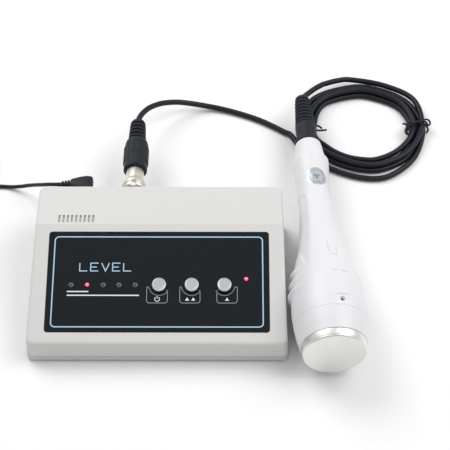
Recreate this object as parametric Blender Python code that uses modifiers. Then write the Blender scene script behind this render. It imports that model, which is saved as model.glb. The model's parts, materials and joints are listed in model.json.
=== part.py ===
"""Desktop ultrasound therapy device: console, bayonet output lead, treatment handpiece and supply cord.

The console's own frame has X along its width from the centre, Y from 0 at the rear top edge (negative towards the
user) and Z up from the table. The last step moves everything so that the object without its cords is centred over
the origin and stands on Z = 0.
"""

import math

import bmesh
import bpy
import numpy as np
from mathutils import Matrix, Vector

MM = 0.001

# Clearances
GAP = 0.3 * MM                      # between neighbouring pieces
THREAD_GAP = 0.3 * MM               # between a screw's shank and its pilot hole

# Console case
CASE_WIDTH = 155.0 * MM             # at the bottom edge
CASE_DEPTH = 104.4 * MM             # at the bottom edge
REAR_HEIGHT = 36.5 * MM             # flat rear deck above the case's bottom
FRONT_HEIGHT = 15.0 * MM            # front edge of the slope above the case's bottom
DECK_DEPTH = 30.6 * MM              # flat rear deck
DRAFT = math.radians(4.0)           # front and side walls lean in by this much
WALL = 2.5 * MM
CORNER_RADIUS = 4.0 * MM
EDGE_ROUND = 1.4 * MM
BASE_HEIGHT = 3.0 * MM              # parting line above the case's bottom
BASE_FLOOR = 2.0 * MM
LIP_THICKNESS = 1.5 * MM
LIP_HEIGHT = 6.0 * MM
FOOT_HEIGHT = 2.0 * MM
FOOT_RADIUS = 5.0 * MM
FOOT_RECESS = 0.7 * MM
FOOT_INSET_X = 11.5 * MM            # from the case's side to the foot's centre
FOOT_INSET_Y = 12.0 * MM            # from the case's front or rear to the foot's centre

# Case screws and their bosses
BOSS_INSET_X = 13.5 * MM
BOSS_INSET_Y = 25.0 * MM
BOSS_RADIUS = 3.6 * MM
BOSS_BOTTOM = 5.1 * MM              # lower end of the cover's bosses
SCREW_HEAD_RADIUS = 2.8 * MM
SCREW_HEAD_HEIGHT = 1.9 * MM
SCREW_SHANK_RADIUS = 1.4 * MM
SCREW_LENGTH = 9.0 * MM
SEAT_THICKNESS = 1.6 * MM           # plastic left between a screw head and the boss

# Vent slots in the rear deck
VENT_COUNT = 9
VENT_PITCH = 2.57 * MM
VENT_WIDTH = 1.3 * MM
VENT_LENGTH = 5.6 * MM
VENT_FIRST_FROM_SIDE = 16.6 * MM    # from the case's side at the bottom edge to the first slot
VENT_FROM_REAR = 26.4 * MM

# Front overlay, in the slope's own frame: across is X, down is the distance from the crease
OVERLAY_SIDE_MARGIN = 11.55 * MM      # from the case's side at the bottom edge
OVERLAY_TOP = 5.3 * MM              # from the crease
OVERLAY_FRONT_MARGIN = 7.4 * MM     # from the front edge of the slope
OVERLAY_THICKNESS = 0.8 * MM
OVERLAY_CORNER = 1.6 * MM
LED_RADIUS = 1.5 * MM
LED_ROW = 0.536                     # share of the overlay's length above the level lights
LED_FIRST_INSET = 14.4 * MM         # from the overlay's left edge
LED_PITCH = 9.5 * MM
LED_COUNT = 5
POWER_LED_INSET = 13.6 * MM         # from the overlay's right edge
POWER_LED_ROW = 0.476
BUTTON_RADIUS = 4.3 * MM
BUTTON_HEIGHT = 2.4 * MM            # above the overlay
BUTTON_ROW = 0.544
BUTTON_FIRST_ACROSS = 0.7 * MM
BUTTON_PITCH = 19.35 * MM
BUTTON_TRAVEL = 1.0 * MM
BUTTON_FLANGE = 1.0 * MM            # thickness and overhang of the flange that keeps a button in
BUTTON_STEM_RADIUS = 1.4 * MM

# Circuit boards
BOARD_THICKNESS = 1.6 * MM
CONTROL_BOARD_DEPTH = 10.0 * MM     # slope surface to the control board's upper face
CONTROL_BOARD_MARGIN = 14.0 * MM    # from the crease to the board's upper edge
CONTROL_BOARD_FRONT = 18.0 * MM     # from the board's lower edge to the slope's front edge
CONTROL_BOARD_SIDE = 18.5 * MM      # from the case's side at the bottom edge
BOARD_POST_RADIUS = 2.2 * MM
SWITCH_SIZE = 6.0 * MM
SWITCH_HEIGHT = 3.4 * MM
MAIN_BOARD_SIDE = 25.5 * MM         # from the case's side
MAIN_BOARD_FROM_REAR = 19.0 * MM
MAIN_BOARD_FROM_FRONT = 41.4 * MM
STANDOFF_HEIGHT = 3.6 * MM
STANDOFF_RADIUS = 2.6 * MM
STANDOFF_INSET = 5.0 * MM

# Rear panel and sockets; their heights are measured down from the deck
PANEL_SIDE = 9.5 * MM               # from the case's side to the window
PANEL_BOTTOM = 8.0 * MM
PANEL_TOP_MARGIN = 5.5 * MM
PANEL_FLANGE = 1.5 * MM
PANEL_THICKNESS = 1.4 * MM
OUTPUT_ACROSS = -18.0 * MM
OUTPUT_BELOW_DECK = 14.1 * MM
SOCKET_NECK_RADIUS = 4.5 * MM
SOCKET_BODY_RADIUS = 6.4 * MM
SOCKET_REACH = 14.5 * MM            # how far the output socket stands out of the rear face
SLEEVE_START = 7.3 * MM
SLEEVE_END = 21.8 * MM
SLEEVE_WALL = 0.6 * MM
RING_RADIUS = 7.4 * MM
PLUG_BODY_RADIUS = 7.4 * MM
PLUG_BODY_LENGTH = 28.4 * MM
RELIEF_LENGTH = 16.5 * MM
RELIEF_BASE_RADIUS = 5.2 * MM
RELIEF_TIP_RADIUS = 4.4 * MM
SUPPLY_ACROSS = -51.0 * MM
SUPPLY_BELOW_DECK = 12.1 * MM
SUPPLY_NECK_RADIUS = 3.9 * MM
SUPPLY_HEAD_RADIUS = 5.3 * MM
SUPPLY_HEAD_LENGTH = 14.0 * MM
SUPPLY_HEAD_START = 3.2 * MM
SUPPLY_ARM_LENGTH = 15.5 * MM
SUPPLY_BARREL_RADIUS = 2.75 * MM

# Handpiece: distances run along its axis from the treatment face towards the cable
HAND_BESIDE = 25.2 * MM             # from the case's side to the face's centre
HAND_IN_FRONT = 114.7 * MM          # from the case's rear to the face's centre
HAND_FACE_HEIGHT = 23.3 * MM
HAND_HEADING = math.radians(2.92)   # the head points this far to the right of straight out
HAND_RISE = math.radians(1.61)      # the head points this far above level
HAND_ROLL = math.radians(15.5)      # the screw side is turned this far to the right
HAND_WALL = 2.0 * MM
HEAD_RADIUS = 18.55 * MM
HEAD_SHOWN = 5.0 * MM               # bare aluminium in front of the collar
HEAD_WALL = 1.2 * MM
HEAD_FACE_THICKNESS = 2.0 * MM
HEAD_DEPTH = 14.0 * MM
HEAD_STEP = 1.4 * MM                # the cup is this much smaller inside the collar
COLLAR_END = 20.0 * MM
SHELL_END = 167.0 * MM
SHELL_PROFILE = (                   # distance from the face, radius
    (20.0, 21.9), (29.0, 22.45), (37.0, 22.1), (47.0, 21.0), (58.0, 19.1), (70.0, 16.6), (82.0, 14.35),
    (94.0, 12.7), (106.0, 11.65), (117.5, 11.2), (119.0, 10.7), (126.0, 10.3), (136.0, 10.8), (149.0, 11.9),
    (151.0, 11.5), (153.0, 10.3), (165.0, 8.9), (167.0, 8.1),
)
HAND_SCREW_AT = 25.0 * MM
HAND_SCREW_RADIUS = 0.9 * MM
HAND_SCREW_HEAD = 1.3 * MM
PIEZO_RADIUS = 12.5 * MM
PIEZO_THICKNESS = 2.0 * MM
BOOT_NECK_RADIUS = 5.4 * MM
BOOT_RADIUS = 7.3 * MM
BOOT_TIP_RADIUS = 4.6 * MM
BOOT_END = 216.0 * MM
BOOT_RIB_COUNT = 7

# Cords: points are places on the table or above it, in the console's frame
LEAD_RADIUS = 1.9 * MM
LEAD_ROUTE = (
    (-18.0, 67.3, 24.0), (-18.0, 69.3, 24.0), (-17.2, 73.0, 23.8), (-15.0, 78.0, 23.0), (-11.6, 84.1, 21.0), (-7.0, 90.0, 18.0),
    (-1.8, 94.8, 15.0), (6.6, 99.9, 10.6), (15.2, 102.3, 7.0), (24.5, 103.0, 4.2), (35.0, 102.0, 2.4),
    (48.0, 98.0, 1.9), (61.5, 92.0, 1.9), (71.8, 85.8, 1.9), (80.6, 79.6, 1.9), (84.3, 76.7, 1.9),
)
COIL_CENTRE = (132.2, 83.3)          # for the case width below
ROUTE_CASE_WIDTH = 155.0            # the routes and coils are laid out beside a case this wide
COIL_INNER_RADIUS = 32.5 * MM
COIL_OUTER_RADIUS = 46.5 * MM
COIL_HEIGHT = 9.6 * MM
TAIL_ROUTE = (
    (91.7, 101.2, 17.2), (91.6, 103.0, 17.1), (91.9, 105.6, 16.5), (93.8, 109.2, 15.0), (97.2, 112.6, 13.2), (102.6, 116.4, 12.1),
    (108.6, 119.9, 11.9),
)
TIE_WIRE = 0.8 * MM
SUPPLY_CORD_RADIUS = 1.25 * MM
SUPPLY_ROUTE = (
    (-66.8, 11.5, 26.0), (-68.6, 11.5, 26.0), (-72.4, 12.9, 24.4), (-77.5, 16.2, 20.2), (-82.5, 20.6, 15.0), (-88.0, 25.0, 9.4),
    (-94.5, 28.4, 4.4), (-101.5, 30.4, 1.7), (-108.0, 31.2, 1.25), (-115.0, 31.2, 1.25), (-121.3, 31.2, 1.25),
)
SUPPLY_COIL_CENTRE = (-137.0, 46.2)
SUPPLY_COIL_INNER = 10.5 * MM
SUPPLY_COIL_OUTER = 20.5 * MM
SUPPLY_COIL_HEIGHT = 7.6 * MM
SUPPLY_TAIL_ROUTE = (
    (-152.7, 31.2, 1.25), (-158.5, 29.6, 1.25), (-162.6, 24.6, 1.3), (-163.4, 17.0, 2.6), (-161.6, 9.6, 7.2),
    (-160.3, 4.4, 11.6), (-160.0, 0.6, 13.6), (-160.0, -2.7, 14.0),
)
ADAPTER_SIZE = Vector((40.0, 58.0, 28.0)) * MM
ADAPTER_CENTRE = (-160.0, -43.0, 14.0)
ADAPTER_RELIEF = 11.0 * MM
BLADE_SIZE = Vector((1.5, 16.0, 6.3)) * MM
BLADE_SPACING = 12.7 * MM

CORD_NODES = (
    "handpiece_cable_lead", "handpiece_cable_coil", "handpiece_cable_tail", "coil_tie", "output_plug_sleeve",
    "output_plug", "supply_plug", "supply_plug_barrel", "supply_cord_lead", "supply_cord_coil",
    "supply_cord_tail", "power_adapter", "adapter_blade_left", "adapter_blade_right",
)

# Derived places
CASE_LIFT = FOOT_HEIGHT - FOOT_RECESS + GAP
SLOPE_RUN = CASE_DEPTH - FRONT_HEIGHT * math.tan(DRAFT) - DECK_DEPTH
SLOPE = math.atan2(REAR_HEIGHT - FRONT_HEIGHT, SLOPE_RUN)
SLOPE_LENGTH = SLOPE_RUN / math.cos(SLOPE)
HOLE_CLEAR = BUTTON_RADIUS + GAP
OVERLAY_WIDTH = CASE_WIDTH - 2 * OVERLAY_SIDE_MARGIN
OVERLAY_LENGTH = SLOPE_LENGTH - OVERLAY_TOP - OVERLAY_FRONT_MARGIN
CONTROL_BOARD_WIDTH = CASE_WIDTH - 2 * CONTROL_BOARD_SIDE
CONTROL_BOARD_LENGTH = SLOPE_LENGTH - CONTROL_BOARD_MARGIN - CONTROL_BOARD_FRONT
MAIN_BOARD_WIDTH = CASE_WIDTH - 2 * MAIN_BOARD_SIDE
MAIN_BOARD_DEPTH = CASE_DEPTH - MAIN_BOARD_FROM_REAR - MAIN_BOARD_FROM_FRONT
PANEL_WIDTH = CASE_WIDTH - 2 * PANEL_SIDE
OUTPUT_HEIGHT = CASE_LIFT + REAR_HEIGHT - OUTPUT_BELOW_DECK
SUPPLY_HEIGHT = CASE_LIFT + REAR_HEIGHT - SUPPLY_BELOW_DECK
PLUG_START = SLEEVE_END + GAP
PLUG_END = PLUG_START + PLUG_BODY_LENGTH + RELIEF_LENGTH
SIDE_SHIFT = (CASE_WIDTH - ROUTE_CASE_WIDTH * MM) / 2
SIDEWAYS = Matrix(((0, 0, 1, 0), (1, 0, 0, 0), (0, 1, 0, 0), (0, 0, 0, 1)))     # an outline of (Y, Z) points
FLOOR_TOP = CASE_LIFT + BASE_FLOOR
MAIN_BOARD_TOP = FLOOR_TOP + STANDOFF_HEIGHT + GAP + BOARD_THICKNESS


# ---------------------------------------------------------------- building blocks

def clear_scene():
    """Remove every object, so the script can be run again."""
    for obj in list(bpy.data.objects):
        bpy.data.objects.remove(obj)


def new_collection(name):
    """Make a collection under the scene's own."""
    collection = bpy.data.collections.new(name)
    bpy.context.scene.collection.children.link(collection)
    return collection


def new_material(name, colour, roughness, metallic=0.0, glow=0.0):
    """A Principled material with one colour."""
    material = bpy.data.materials.new(name)
    material.use_nodes = True
    shader = material.node_tree.nodes["Principled BSDF"]
    shader.inputs["Base Color"].default_value = (*colour, 1.0)
    shader.inputs["Roughness"].default_value = roughness
    shader.inputs["Metallic"].default_value = metallic
    if glow:
        shader.inputs["Emission Color"].default_value = (*colour, 1.0)
        shader.inputs["Emission Strength"].default_value = glow
    material.diffuse_color = (*colour, 1.0)
    return material


def new_frame(name, matrix, parent=None):
    """An empty that holds the pieces built in its own axes."""
    empty = bpy.data.objects.new(name, None)
    PARTS.objects.link(empty)
    empty.parent = parent
    empty.matrix_basis = matrix
    return empty


def add_object(name, data, parent, place=(0.0, 0.0, 0.0), turn=None, cutter=False):
    """Link a mesh or curve under its frame, in the parts or among the cutters."""
    obj = bpy.data.objects.new(name, data)
    (CUTTERS if cutter else PARTS).objects.link(obj)
    obj.parent = parent
    obj.matrix_basis = Matrix.Translation(Vector(place)) @ (turn or Matrix.Identity(4))
    if cutter:
        obj.hide_render = True
        obj.display_type = "WIRE"
    return obj


def bmesh_object(name, bm, parent, place=(0.0, 0.0, 0.0), turn=None, cutter=False):
    """Write a bmesh into a new object and free it."""
    mesh = bpy.data.meshes.new(name)
    bm.to_mesh(mesh)
    bm.free()
    return add_object(name, mesh, parent, place, turn, cutter)


def box(name, size, centre, parent, cutter=False, rounding=0.0, rounding_steps=2, turn=None):
    """A box given by its size and centre, with rounded edges when asked."""
    bm = bmesh.new()
    bmesh.ops.create_cube(bm, size=1.0)
    bmesh.ops.scale(bm, vec=Vector(size), verts=bm.verts)
    obj = bmesh_object(name, bm, parent, centre, turn, cutter)
    if rounding:
        round_edges(obj, rounding, rounding_steps)
    return obj


def rod(name, radius, bottom, top, parent, place=(0.0, 0.0), cutter=False, sides=24, turn=None):
    """A cylinder along the frame's Z from bottom to top."""
    bm = bmesh.new()
    bmesh.ops.create_cone(bm, cap_ends=True, segments=sides, radius1=radius, radius2=radius, depth=top - bottom)
    return bmesh_object(name, bm, parent, (place[0], place[1], (bottom + top) / 2), turn, cutter)


def rods(name, radius, bottom, top, parent, places, sides=20):
    """One cutter made of several parallel cylinders."""
    bm = bmesh.new()
    for across, along in places:
        spot = Matrix.Translation((across, along, (bottom + top) / 2))
        bmesh.ops.create_cone(
            bm, cap_ends=True, segments=sides, radius1=radius, radius2=radius, depth=top - bottom, matrix=spot
        )
    return bmesh_object(name, bm, parent, cutter=True)


def turned(name, profile, parent, steps=32, loop=False, cutter=False, turn=None, place=(0.0, 0.0, 0.0)):
    """A solid turned about the frame's Z. Profile pairs are (radius, height), from the top down the outer side."""
    mesh = bpy.data.meshes.new(name)
    points = [(radius, 0.0, height) for radius, height in profile]
    edges = [(i, i + 1) for i in range(len(points) - 1)]
    if loop:
        edges.append((len(points) - 1, 0))
    mesh.from_pydata(points, edges, [])
    obj = add_object(name, mesh, parent, place, turn, cutter)
    screw = obj.modifiers.new("Turn", "SCREW")
    screw.axis = "Z"
    screw.steps = steps
    screw.render_steps = steps
    screw.use_merge_vertices = True
    screw.merge_threshold = 0.00001
    return obj


def prism(name, outline, thickness, parent, cutter=False, turn=None, place=(0.0, 0.0, 0.0)):
    """A flat outline in XY, given a thickness about Z = 0."""
    curve = bpy.data.curves.new(name + "_outline", "CURVE")
    curve.dimensions = "2D"
    curve.fill_mode = "BOTH"
    curve.extrude = thickness / 2
    spline = curve.splines.new("POLY")
    spline.points.add(len(outline) - 1)
    for point, (across, along) in zip(spline.points, outline):
        point.co = (across, along, 0.0, 1.0)
    spline.use_cyclic_u = True
    holder = bpy.data.objects.new(name + "_outline", curve)
    bpy.context.scene.collection.objects.link(holder)
    bpy.context.view_layer.update()
    evaluated = holder.evaluated_get(bpy.context.evaluated_depsgraph_get())
    mesh = bpy.data.meshes.new_from_object(evaluated)
    bpy.data.objects.remove(holder)
    mesh.name = name
    bm = bmesh.new()
    bm.from_mesh(mesh)
    bmesh.ops.remove_doubles(bm, verts=bm.verts, dist=0.000001)
    bm.to_mesh(mesh)
    bm.free()
    mesh.materials.clear()
    return add_object(name, mesh, parent, place, turn, cutter)


def rounded_rectangle(width, length, radius, steps=4):
    """Points of a rectangle about the centre, anticlockwise, with round corners."""
    points = []
    for quarter in range(4):
        side_x = 1 if quarter in (0, 3) else -1
        side_y = 1 if quarter in (0, 1) else -1
        centre_x = side_x * (width / 2 - radius)
        centre_y = side_y * (length / 2 - radius)
        for step in range(steps + 1):
            angle = math.pi / 2 * (quarter + step / steps)
            points.append((centre_x + radius * math.cos(angle), centre_y + radius * math.sin(angle)))
    return points


def hexagon(across_corners):
    """Points of a hexagon about the centre."""
    return [
        (across_corners / 2 * math.cos(math.pi / 3 * i), across_corners / 2 * math.sin(math.pi / 3 * i))
        for i in range(6)
    ]


def round_edges(obj, width, steps=2, angle=40.0):
    """Bevel the edges sharper than the angle."""
    bevel = obj.modifiers.new("Rounding", "BEVEL")
    bevel.width = width
    bevel.segments = steps
    bevel.limit_method = "ANGLE"
    bevel.angle_limit = math.radians(angle)
    return obj


def combine(obj, other, operation):
    """Join, cut or intersect one solid with another; the other one goes to the cutters."""
    if other.name in PARTS.objects:
        PARTS.objects.unlink(other)
        CUTTERS.objects.link(other)
        other.hide_render = True
        other.display_type = "WIRE"
    step = obj.modifiers.new(operation.title(), "BOOLEAN")
    step.operation = operation
    step.solver = "EXACT"
    step.object = other
    return obj


def smooth_route(route, spacing):
    """Points a little apart on the smooth curve through the route's points (Catmull-Rom), from end to end."""
    nodes = np.array(route, dtype=float) * MM
    padded = np.vstack([2 * nodes[0] - nodes[1], nodes, 2 * nodes[-1] - nodes[-2]])
    fine = []
    for i in range(len(nodes) - 1):
        p0, p1, p2, p3 = padded[i:i + 4]
        for t in np.linspace(0.0, 1.0, 24, endpoint=False):
            fine.append(
                0.5 * (2 * p1 + (p2 - p0) * t + (2 * p0 - 5 * p1 + 4 * p2 - p3) * t ** 2
                       + (3 * p1 - p0 - 3 * p2 + p3) * t ** 3)
            )
    fine.append(nodes[-1])
    fine = np.array(fine)
    lengths = np.concatenate([[0.0], np.cumsum(np.linalg.norm(np.diff(fine, axis=0), axis=1))])
    count = max(4, round(lengths[-1] / spacing) + 1)
    marks = np.linspace(0.0, lengths[-1], count)
    square_end = 1.2 * MM
    marks = np.concatenate([[0.0, square_end], marks[1:-1], [lengths[-1] - square_end, lengths[-1]]])
    return np.stack([np.interp(marks, lengths, fine[:, axis]) for axis in range(3)], axis=1)


def tube(name, points, radius, parent, cyclic=False):
    """A round cord through the points."""
    curve = bpy.data.curves.new(name, "CURVE")
    curve.dimensions = "3D"
    curve.bevel_depth = radius
    curve.bevel_resolution = 2
    curve.use_fill_caps = not cyclic
    spline = curve.splines.new("POLY")
    spline.points.add(len(points) - 1)
    for point, place in zip(spline.points, points):
        point.co = (*place, 1.0)
    spline.use_cyclic_u = cyclic
    return add_object(name, curve, parent)


def finish(obj, material, smooth=True):
    """Give a piece its material and shade its round faces smooth."""
    obj.data.materials.clear()
    obj.data.materials.append(material)
    if obj.type == "MESH" and smooth and obj.data.polygons:
        obj.data.shade_smooth()
        obj.data.set_sharp_from_angle(angle=math.radians(35.0))
    return obj


# ---------------------------------------------------------------- console case

def tapered_block(name, inset, bottom, top, rear_inset=None, cutter=False):
    """The case's plan between two heights, its front and sides leaning in, moved in by the inset."""
    rear_inset = inset if rear_inset is None else rear_inset
    bm = bmesh.new()
    bmesh.ops.create_cube(bm, size=1.0)
    for vert in bm.verts:
        height = top if vert.co.z > 0 else bottom
        lean = height * math.tan(DRAFT)
        half_width = CASE_WIDTH / 2 - inset - lean
        rear = -rear_inset
        front = -(CASE_DEPTH - inset - lean)
        vert.co = (math.copysign(half_width, vert.co.x), rear if vert.co.y > 0 else front, CASE_LIFT + height)
    upright = [edge for edge in bm.edges if abs(edge.verts[0].co.z - edge.verts[1].co.z) > (top - bottom) / 2]
    radius = max(CORNER_RADIUS - inset, 1.0 * MM)
    bmesh.ops.bevel(bm, geom=upright, offset=radius, segments=4, affect="EDGES", profile=0.5)
    return bmesh_object(name, bm, CONSOLE, cutter=cutter)


def under_slope(name, inset):
    """The space under the deck and slope, moved in by the inset, wider than the case."""
    margin = 12.0 * MM
    deck = REAR_HEIGHT - inset
    crease = -DECK_DEPTH + inset * (1.0 / math.cos(SLOPE) - 1.0) / math.tan(SLOPE)
    far = -(CASE_DEPTH + margin)
    far_height = deck + (far - crease) * math.tan(SLOPE)
    outline = [(far, -margin), (margin, -margin), (margin, deck), (crease, deck), (far, far_height)]
    lifted = [(along, height + CASE_LIFT) for along, height in outline]
    return prism(name, lifted, CASE_WIDTH + 2 * margin, CONSOLE, cutter=True, turn=SIDEWAYS)


def ceiling_height(along, inset):
    """Height above the table of the deck or slope moved in by the inset, at a place along Y."""
    deck = CASE_LIFT + REAR_HEIGHT - inset
    slope = CASE_LIFT + REAR_HEIGHT + (along + DECK_DEPTH) * math.tan(SLOPE) - inset / math.cos(SLOPE)
    return min(deck, slope)


def boss_places():
    """Where the four case screws stand."""
    across = CASE_WIDTH / 2 - BOSS_INSET_X
    return [(side * across, along) for side in (-1, 1) for along in (-BOSS_INSET_Y, BOSS_INSET_Y - CASE_DEPTH)]


def foot_places():
    """Where the four feet stand."""
    across = CASE_WIDTH / 2 - FOOT_INSET_X
    return [(side * across, along) for side in (-1, 1) for along in (-FOOT_INSET_Y, FOOT_INSET_Y - CASE_DEPTH)]


def led_places():
    """Across and down the slope, for each level light and then the power light."""
    first = -OVERLAY_WIDTH / 2 + LED_FIRST_INSET
    row = [(first + i * LED_PITCH, -(OVERLAY_TOP + LED_ROW * OVERLAY_LENGTH)) for i in range(LED_COUNT)]
    return row + [(OVERLAY_WIDTH / 2 - POWER_LED_INSET, -(OVERLAY_TOP + POWER_LED_ROW * OVERLAY_LENGTH))]


def button_places():
    """Across and down the slope, for each push button."""
    down = OVERLAY_TOP + BUTTON_ROW * OVERLAY_LENGTH
    return [(BUTTON_FIRST_ACROSS + i * BUTTON_PITCH, -down) for i in range(3)]


def build_top_cover():
    """Sloped cover with vents, overlay recess, light and button holes, screw bosses and board posts."""
    cover = tapered_block("console_top_cover", 0.0, 0.0, REAR_HEIGHT + 5 * MM)
    combine(cover, under_slope("cover_wedge", 0.0), "INTERSECT")
    round_edges(cover, EDGE_ROUND, 2)
    below = box("cover_trim", (CASE_WIDTH * 1.2, CASE_DEPTH * 1.4, 2 * (BASE_HEIGHT + GAP)),
                (0.0, -CASE_DEPTH / 2, CASE_LIFT), CONSOLE, cutter=True)
    combine(cover, below, "DIFFERENCE")
    hollow = tapered_block("cover_hollow", WALL, -4 * MM, REAR_HEIGHT + 5 * MM, cutter=True)
    combine(hollow, under_slope("cover_hollow_wedge", WALL), "INTERSECT")
    combine(cover, hollow, "DIFFERENCE")

    for number, (across, along) in enumerate(boss_places()):
        top = ceiling_height(along, 0.6 * WALL)
        combine(cover, rod(f"cover_boss_{number}", BOSS_RADIUS, CASE_LIFT + BOSS_BOTTOM, top, CONSOLE,
                           (across, along), sides=20), "UNION")
    pilot_top = CASE_LIFT + BOSS_BOTTOM + SCREW_LENGTH
    combine(cover, rods("cover_pilots", SCREW_SHANK_RADIUS + THREAD_GAP, CASE_LIFT, pilot_top, CONSOLE,
                        boss_places(), 12), "DIFFERENCE")

    for number, (across, along) in enumerate(control_board_posts()):
        combine(cover, rod(f"cover_post_{number}", BOARD_POST_RADIUS, GAP - CONTROL_BOARD_DEPTH, -WALL / 2,
                           SLOPE_FRAME, (across, along), sides=12), "UNION")

    recess = prism("cover_recess", rounded_rectangle(OVERLAY_WIDTH + 2 * GAP, OVERLAY_LENGTH + 2 * GAP,
                                                     OVERLAY_CORNER + GAP),
                   2 * (OVERLAY_THICKNESS + GAP), SLOPE_FRAME, cutter=True,
                   place=(0.0, -OVERLAY_TOP - OVERLAY_LENGTH / 2, 0.0))
    combine(cover, recess, "DIFFERENCE")
    combine(cover, rods("cover_light_holes", LED_RADIUS + GAP, -WALL - MM, MM, SLOPE_FRAME, led_places(), 16),
            "DIFFERENCE")
    combine(cover, rods("cover_button_holes", HOLE_CLEAR, -WALL - MM, MM, SLOPE_FRAME, button_places(), 24),
            "DIFFERENCE")

    first_vent = -CASE_WIDTH / 2 + VENT_FIRST_FROM_SIDE
    slot = box("cover_vents", (VENT_WIDTH, VENT_LENGTH, 3 * WALL),
               (first_vent, -VENT_FROM_REAR, CASE_LIFT + REAR_HEIGHT), CONSOLE, cutter=True)
    array = slot.modifiers.new("Row", "ARRAY")
    array.count = VENT_COUNT
    array.use_relative_offset = False
    array.use_constant_offset = True
    array.constant_offset_displace = (VENT_PITCH, 0.0, 0.0)
    combine(cover, slot, "DIFFERENCE")

    window_top = REAR_HEIGHT - PANEL_TOP_MARGIN
    window = box("cover_rear_window", (PANEL_WIDTH, 4 * WALL, window_top - PANEL_BOTTOM),
                 (0.0, 0.0, CASE_LIFT + (window_top + PANEL_BOTTOM) / 2), CONSOLE, cutter=True)
    combine(cover, window, "DIFFERENCE")
    finish(cover, CASE_PLASTIC)


def build_base():
    """Base tray with a lip inside the cover, board standoffs, screw seats and foot recesses."""
    base = tapered_block("console_base", 0.0, 0.0, BASE_HEIGHT)
    inner = WALL + GAP
    combine(base, tapered_block("base_lip", inner, BASE_FLOOR / 2, LIP_HEIGHT), "UNION")
    combine(base, tapered_block("base_pocket", inner + LIP_THICKNESS, BASE_FLOOR, LIP_HEIGHT + 2 * MM, cutter=True),
            "DIFFERENCE")
    seat_top = CASE_LIFT + BOSS_BOTTOM - GAP
    for number, (across, along) in enumerate(boss_places()):
        combine(base, rod(f"base_seat_{number}", BOSS_RADIUS + MM, CASE_LIFT + BASE_FLOOR / 2, seat_top, CONSOLE,
                          (across, along), sides=20), "UNION")
    for number, (across, along) in enumerate(standoff_places()):
        combine(base, rod(f"base_standoff_{number}", STANDOFF_RADIUS, CASE_LIFT + BASE_FLOOR / 2,
                          FLOOR_TOP + STANDOFF_HEIGHT, CONSOLE, (across, along), sides=16), "UNION")
    combine(base, rods("base_screw_holes", SCREW_SHANK_RADIUS + THREAD_GAP, CASE_LIFT - MM,
                       seat_top + MM, CONSOLE, boss_places(), 12), "DIFFERENCE")
    combine(base, rods("base_head_holes", SCREW_HEAD_RADIUS + THREAD_GAP, CASE_LIFT - MM,
                       seat_top - SEAT_THICKNESS, CONSOLE, boss_places(), 16), "DIFFERENCE")
    combine(base, rods("base_foot_recesses", FOOT_RADIUS + GAP, CASE_LIFT - MM, CASE_LIFT + FOOT_RECESS, CONSOLE,
                       foot_places(), 24), "DIFFERENCE")
    finish(base, BASE_PLASTIC)


def build_feet_and_screws():
    """Round rubber feet in their recesses, and the case screws driven up into the bosses."""
    corners = ("rear_left", "front_left", "rear_right", "front_right")
    for corner, (across, along) in zip(corners, foot_places()):
        foot = turned(f"foot_{corner}", [(0.0, FOOT_HEIGHT), (FOOT_RADIUS, FOOT_HEIGHT),
                                         (FOOT_RADIUS, 0.6 * MM), (FOOT_RADIUS - 0.6 * MM, 0.0), (0.0, 0.0)],
                      CONSOLE, 24, place=(across, along, 0.0))
        finish(foot, RUBBER)
    seat = CASE_LIFT + BOSS_BOTTOM - GAP - SEAT_THICKNESS - GAP
    for corner, (across, along) in zip(corners, boss_places()):
        tip = seat + SEAT_THICKNESS + SCREW_LENGTH - MM
        screw = turned(f"case_screw_{corner}", [
            (0.0, tip), (SCREW_SHANK_RADIUS * 0.5, tip), (SCREW_SHANK_RADIUS, tip - 1.2 * MM),
            (SCREW_SHANK_RADIUS, seat), (SCREW_HEAD_RADIUS, seat),
            (SCREW_HEAD_RADIUS, seat - 0.6 * SCREW_HEAD_HEIGHT), (0.7 * SCREW_HEAD_RADIUS, seat - SCREW_HEAD_HEIGHT),
            (0.0, seat - SCREW_HEAD_HEIGHT)], CONSOLE, 16, place=(across, along, 0.0))
        finish(screw, STEEL)


def build_overlay():
    """Thin black plate in the slope's recess, with holes for lights and buttons."""
    overlay = prism("front_overlay", rounded_rectangle(OVERLAY_WIDTH, OVERLAY_LENGTH, OVERLAY_CORNER),
                    OVERLAY_THICKNESS, SLOPE_FRAME,
                    place=(0.0, -OVERLAY_TOP - OVERLAY_LENGTH / 2, -OVERLAY_THICKNESS / 2))
    combine(overlay, rods("overlay_light_holes", LED_RADIUS + GAP, -3 * MM, 3 * MM, SLOPE_FRAME, led_places(), 16),
            "DIFFERENCE")
    combine(overlay, rods("overlay_button_holes", HOLE_CLEAR, -3 * MM, 3 * MM, SLOPE_FRAME, button_places(), 24),
            "DIFFERENCE")
    finish(overlay, OVERLAY_BLACK)


def build_buttons():
    """Silver caps with a retaining flange and a stem into the switch; each slides along the slope's normal."""
    flange_top = -(WALL + GAP)
    flange_bottom = flange_top - BUTTON_FLANGE
    switch_top = GAP - CONTROL_BOARD_DEPTH + SWITCH_HEIGHT
    tip = switch_top - 0.7 * MM
    edge = 0.9 * MM
    for name, (across, along) in zip(("on_off_button", "fast_up_button", "slow_up_button"), button_places()):
        button = turned(name, [
            (0.0, BUTTON_HEIGHT), (BUTTON_RADIUS - 1.2 * edge, BUTTON_HEIGHT),
            (BUTTON_RADIUS - 0.45 * edge, BUTTON_HEIGHT - 0.25 * edge), (BUTTON_RADIUS, BUTTON_HEIGHT - edge),
            (BUTTON_RADIUS, flange_top), (BUTTON_RADIUS + BUTTON_FLANGE, flange_top),
            (BUTTON_RADIUS + BUTTON_FLANGE, flange_bottom), (BUTTON_STEM_RADIUS, flange_bottom),
            (BUTTON_STEM_RADIUS, tip), (0.0, tip)], SLOPE_FRAME, 32, place=(across, along, 0.0))
        finish(button, SILVER)


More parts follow.
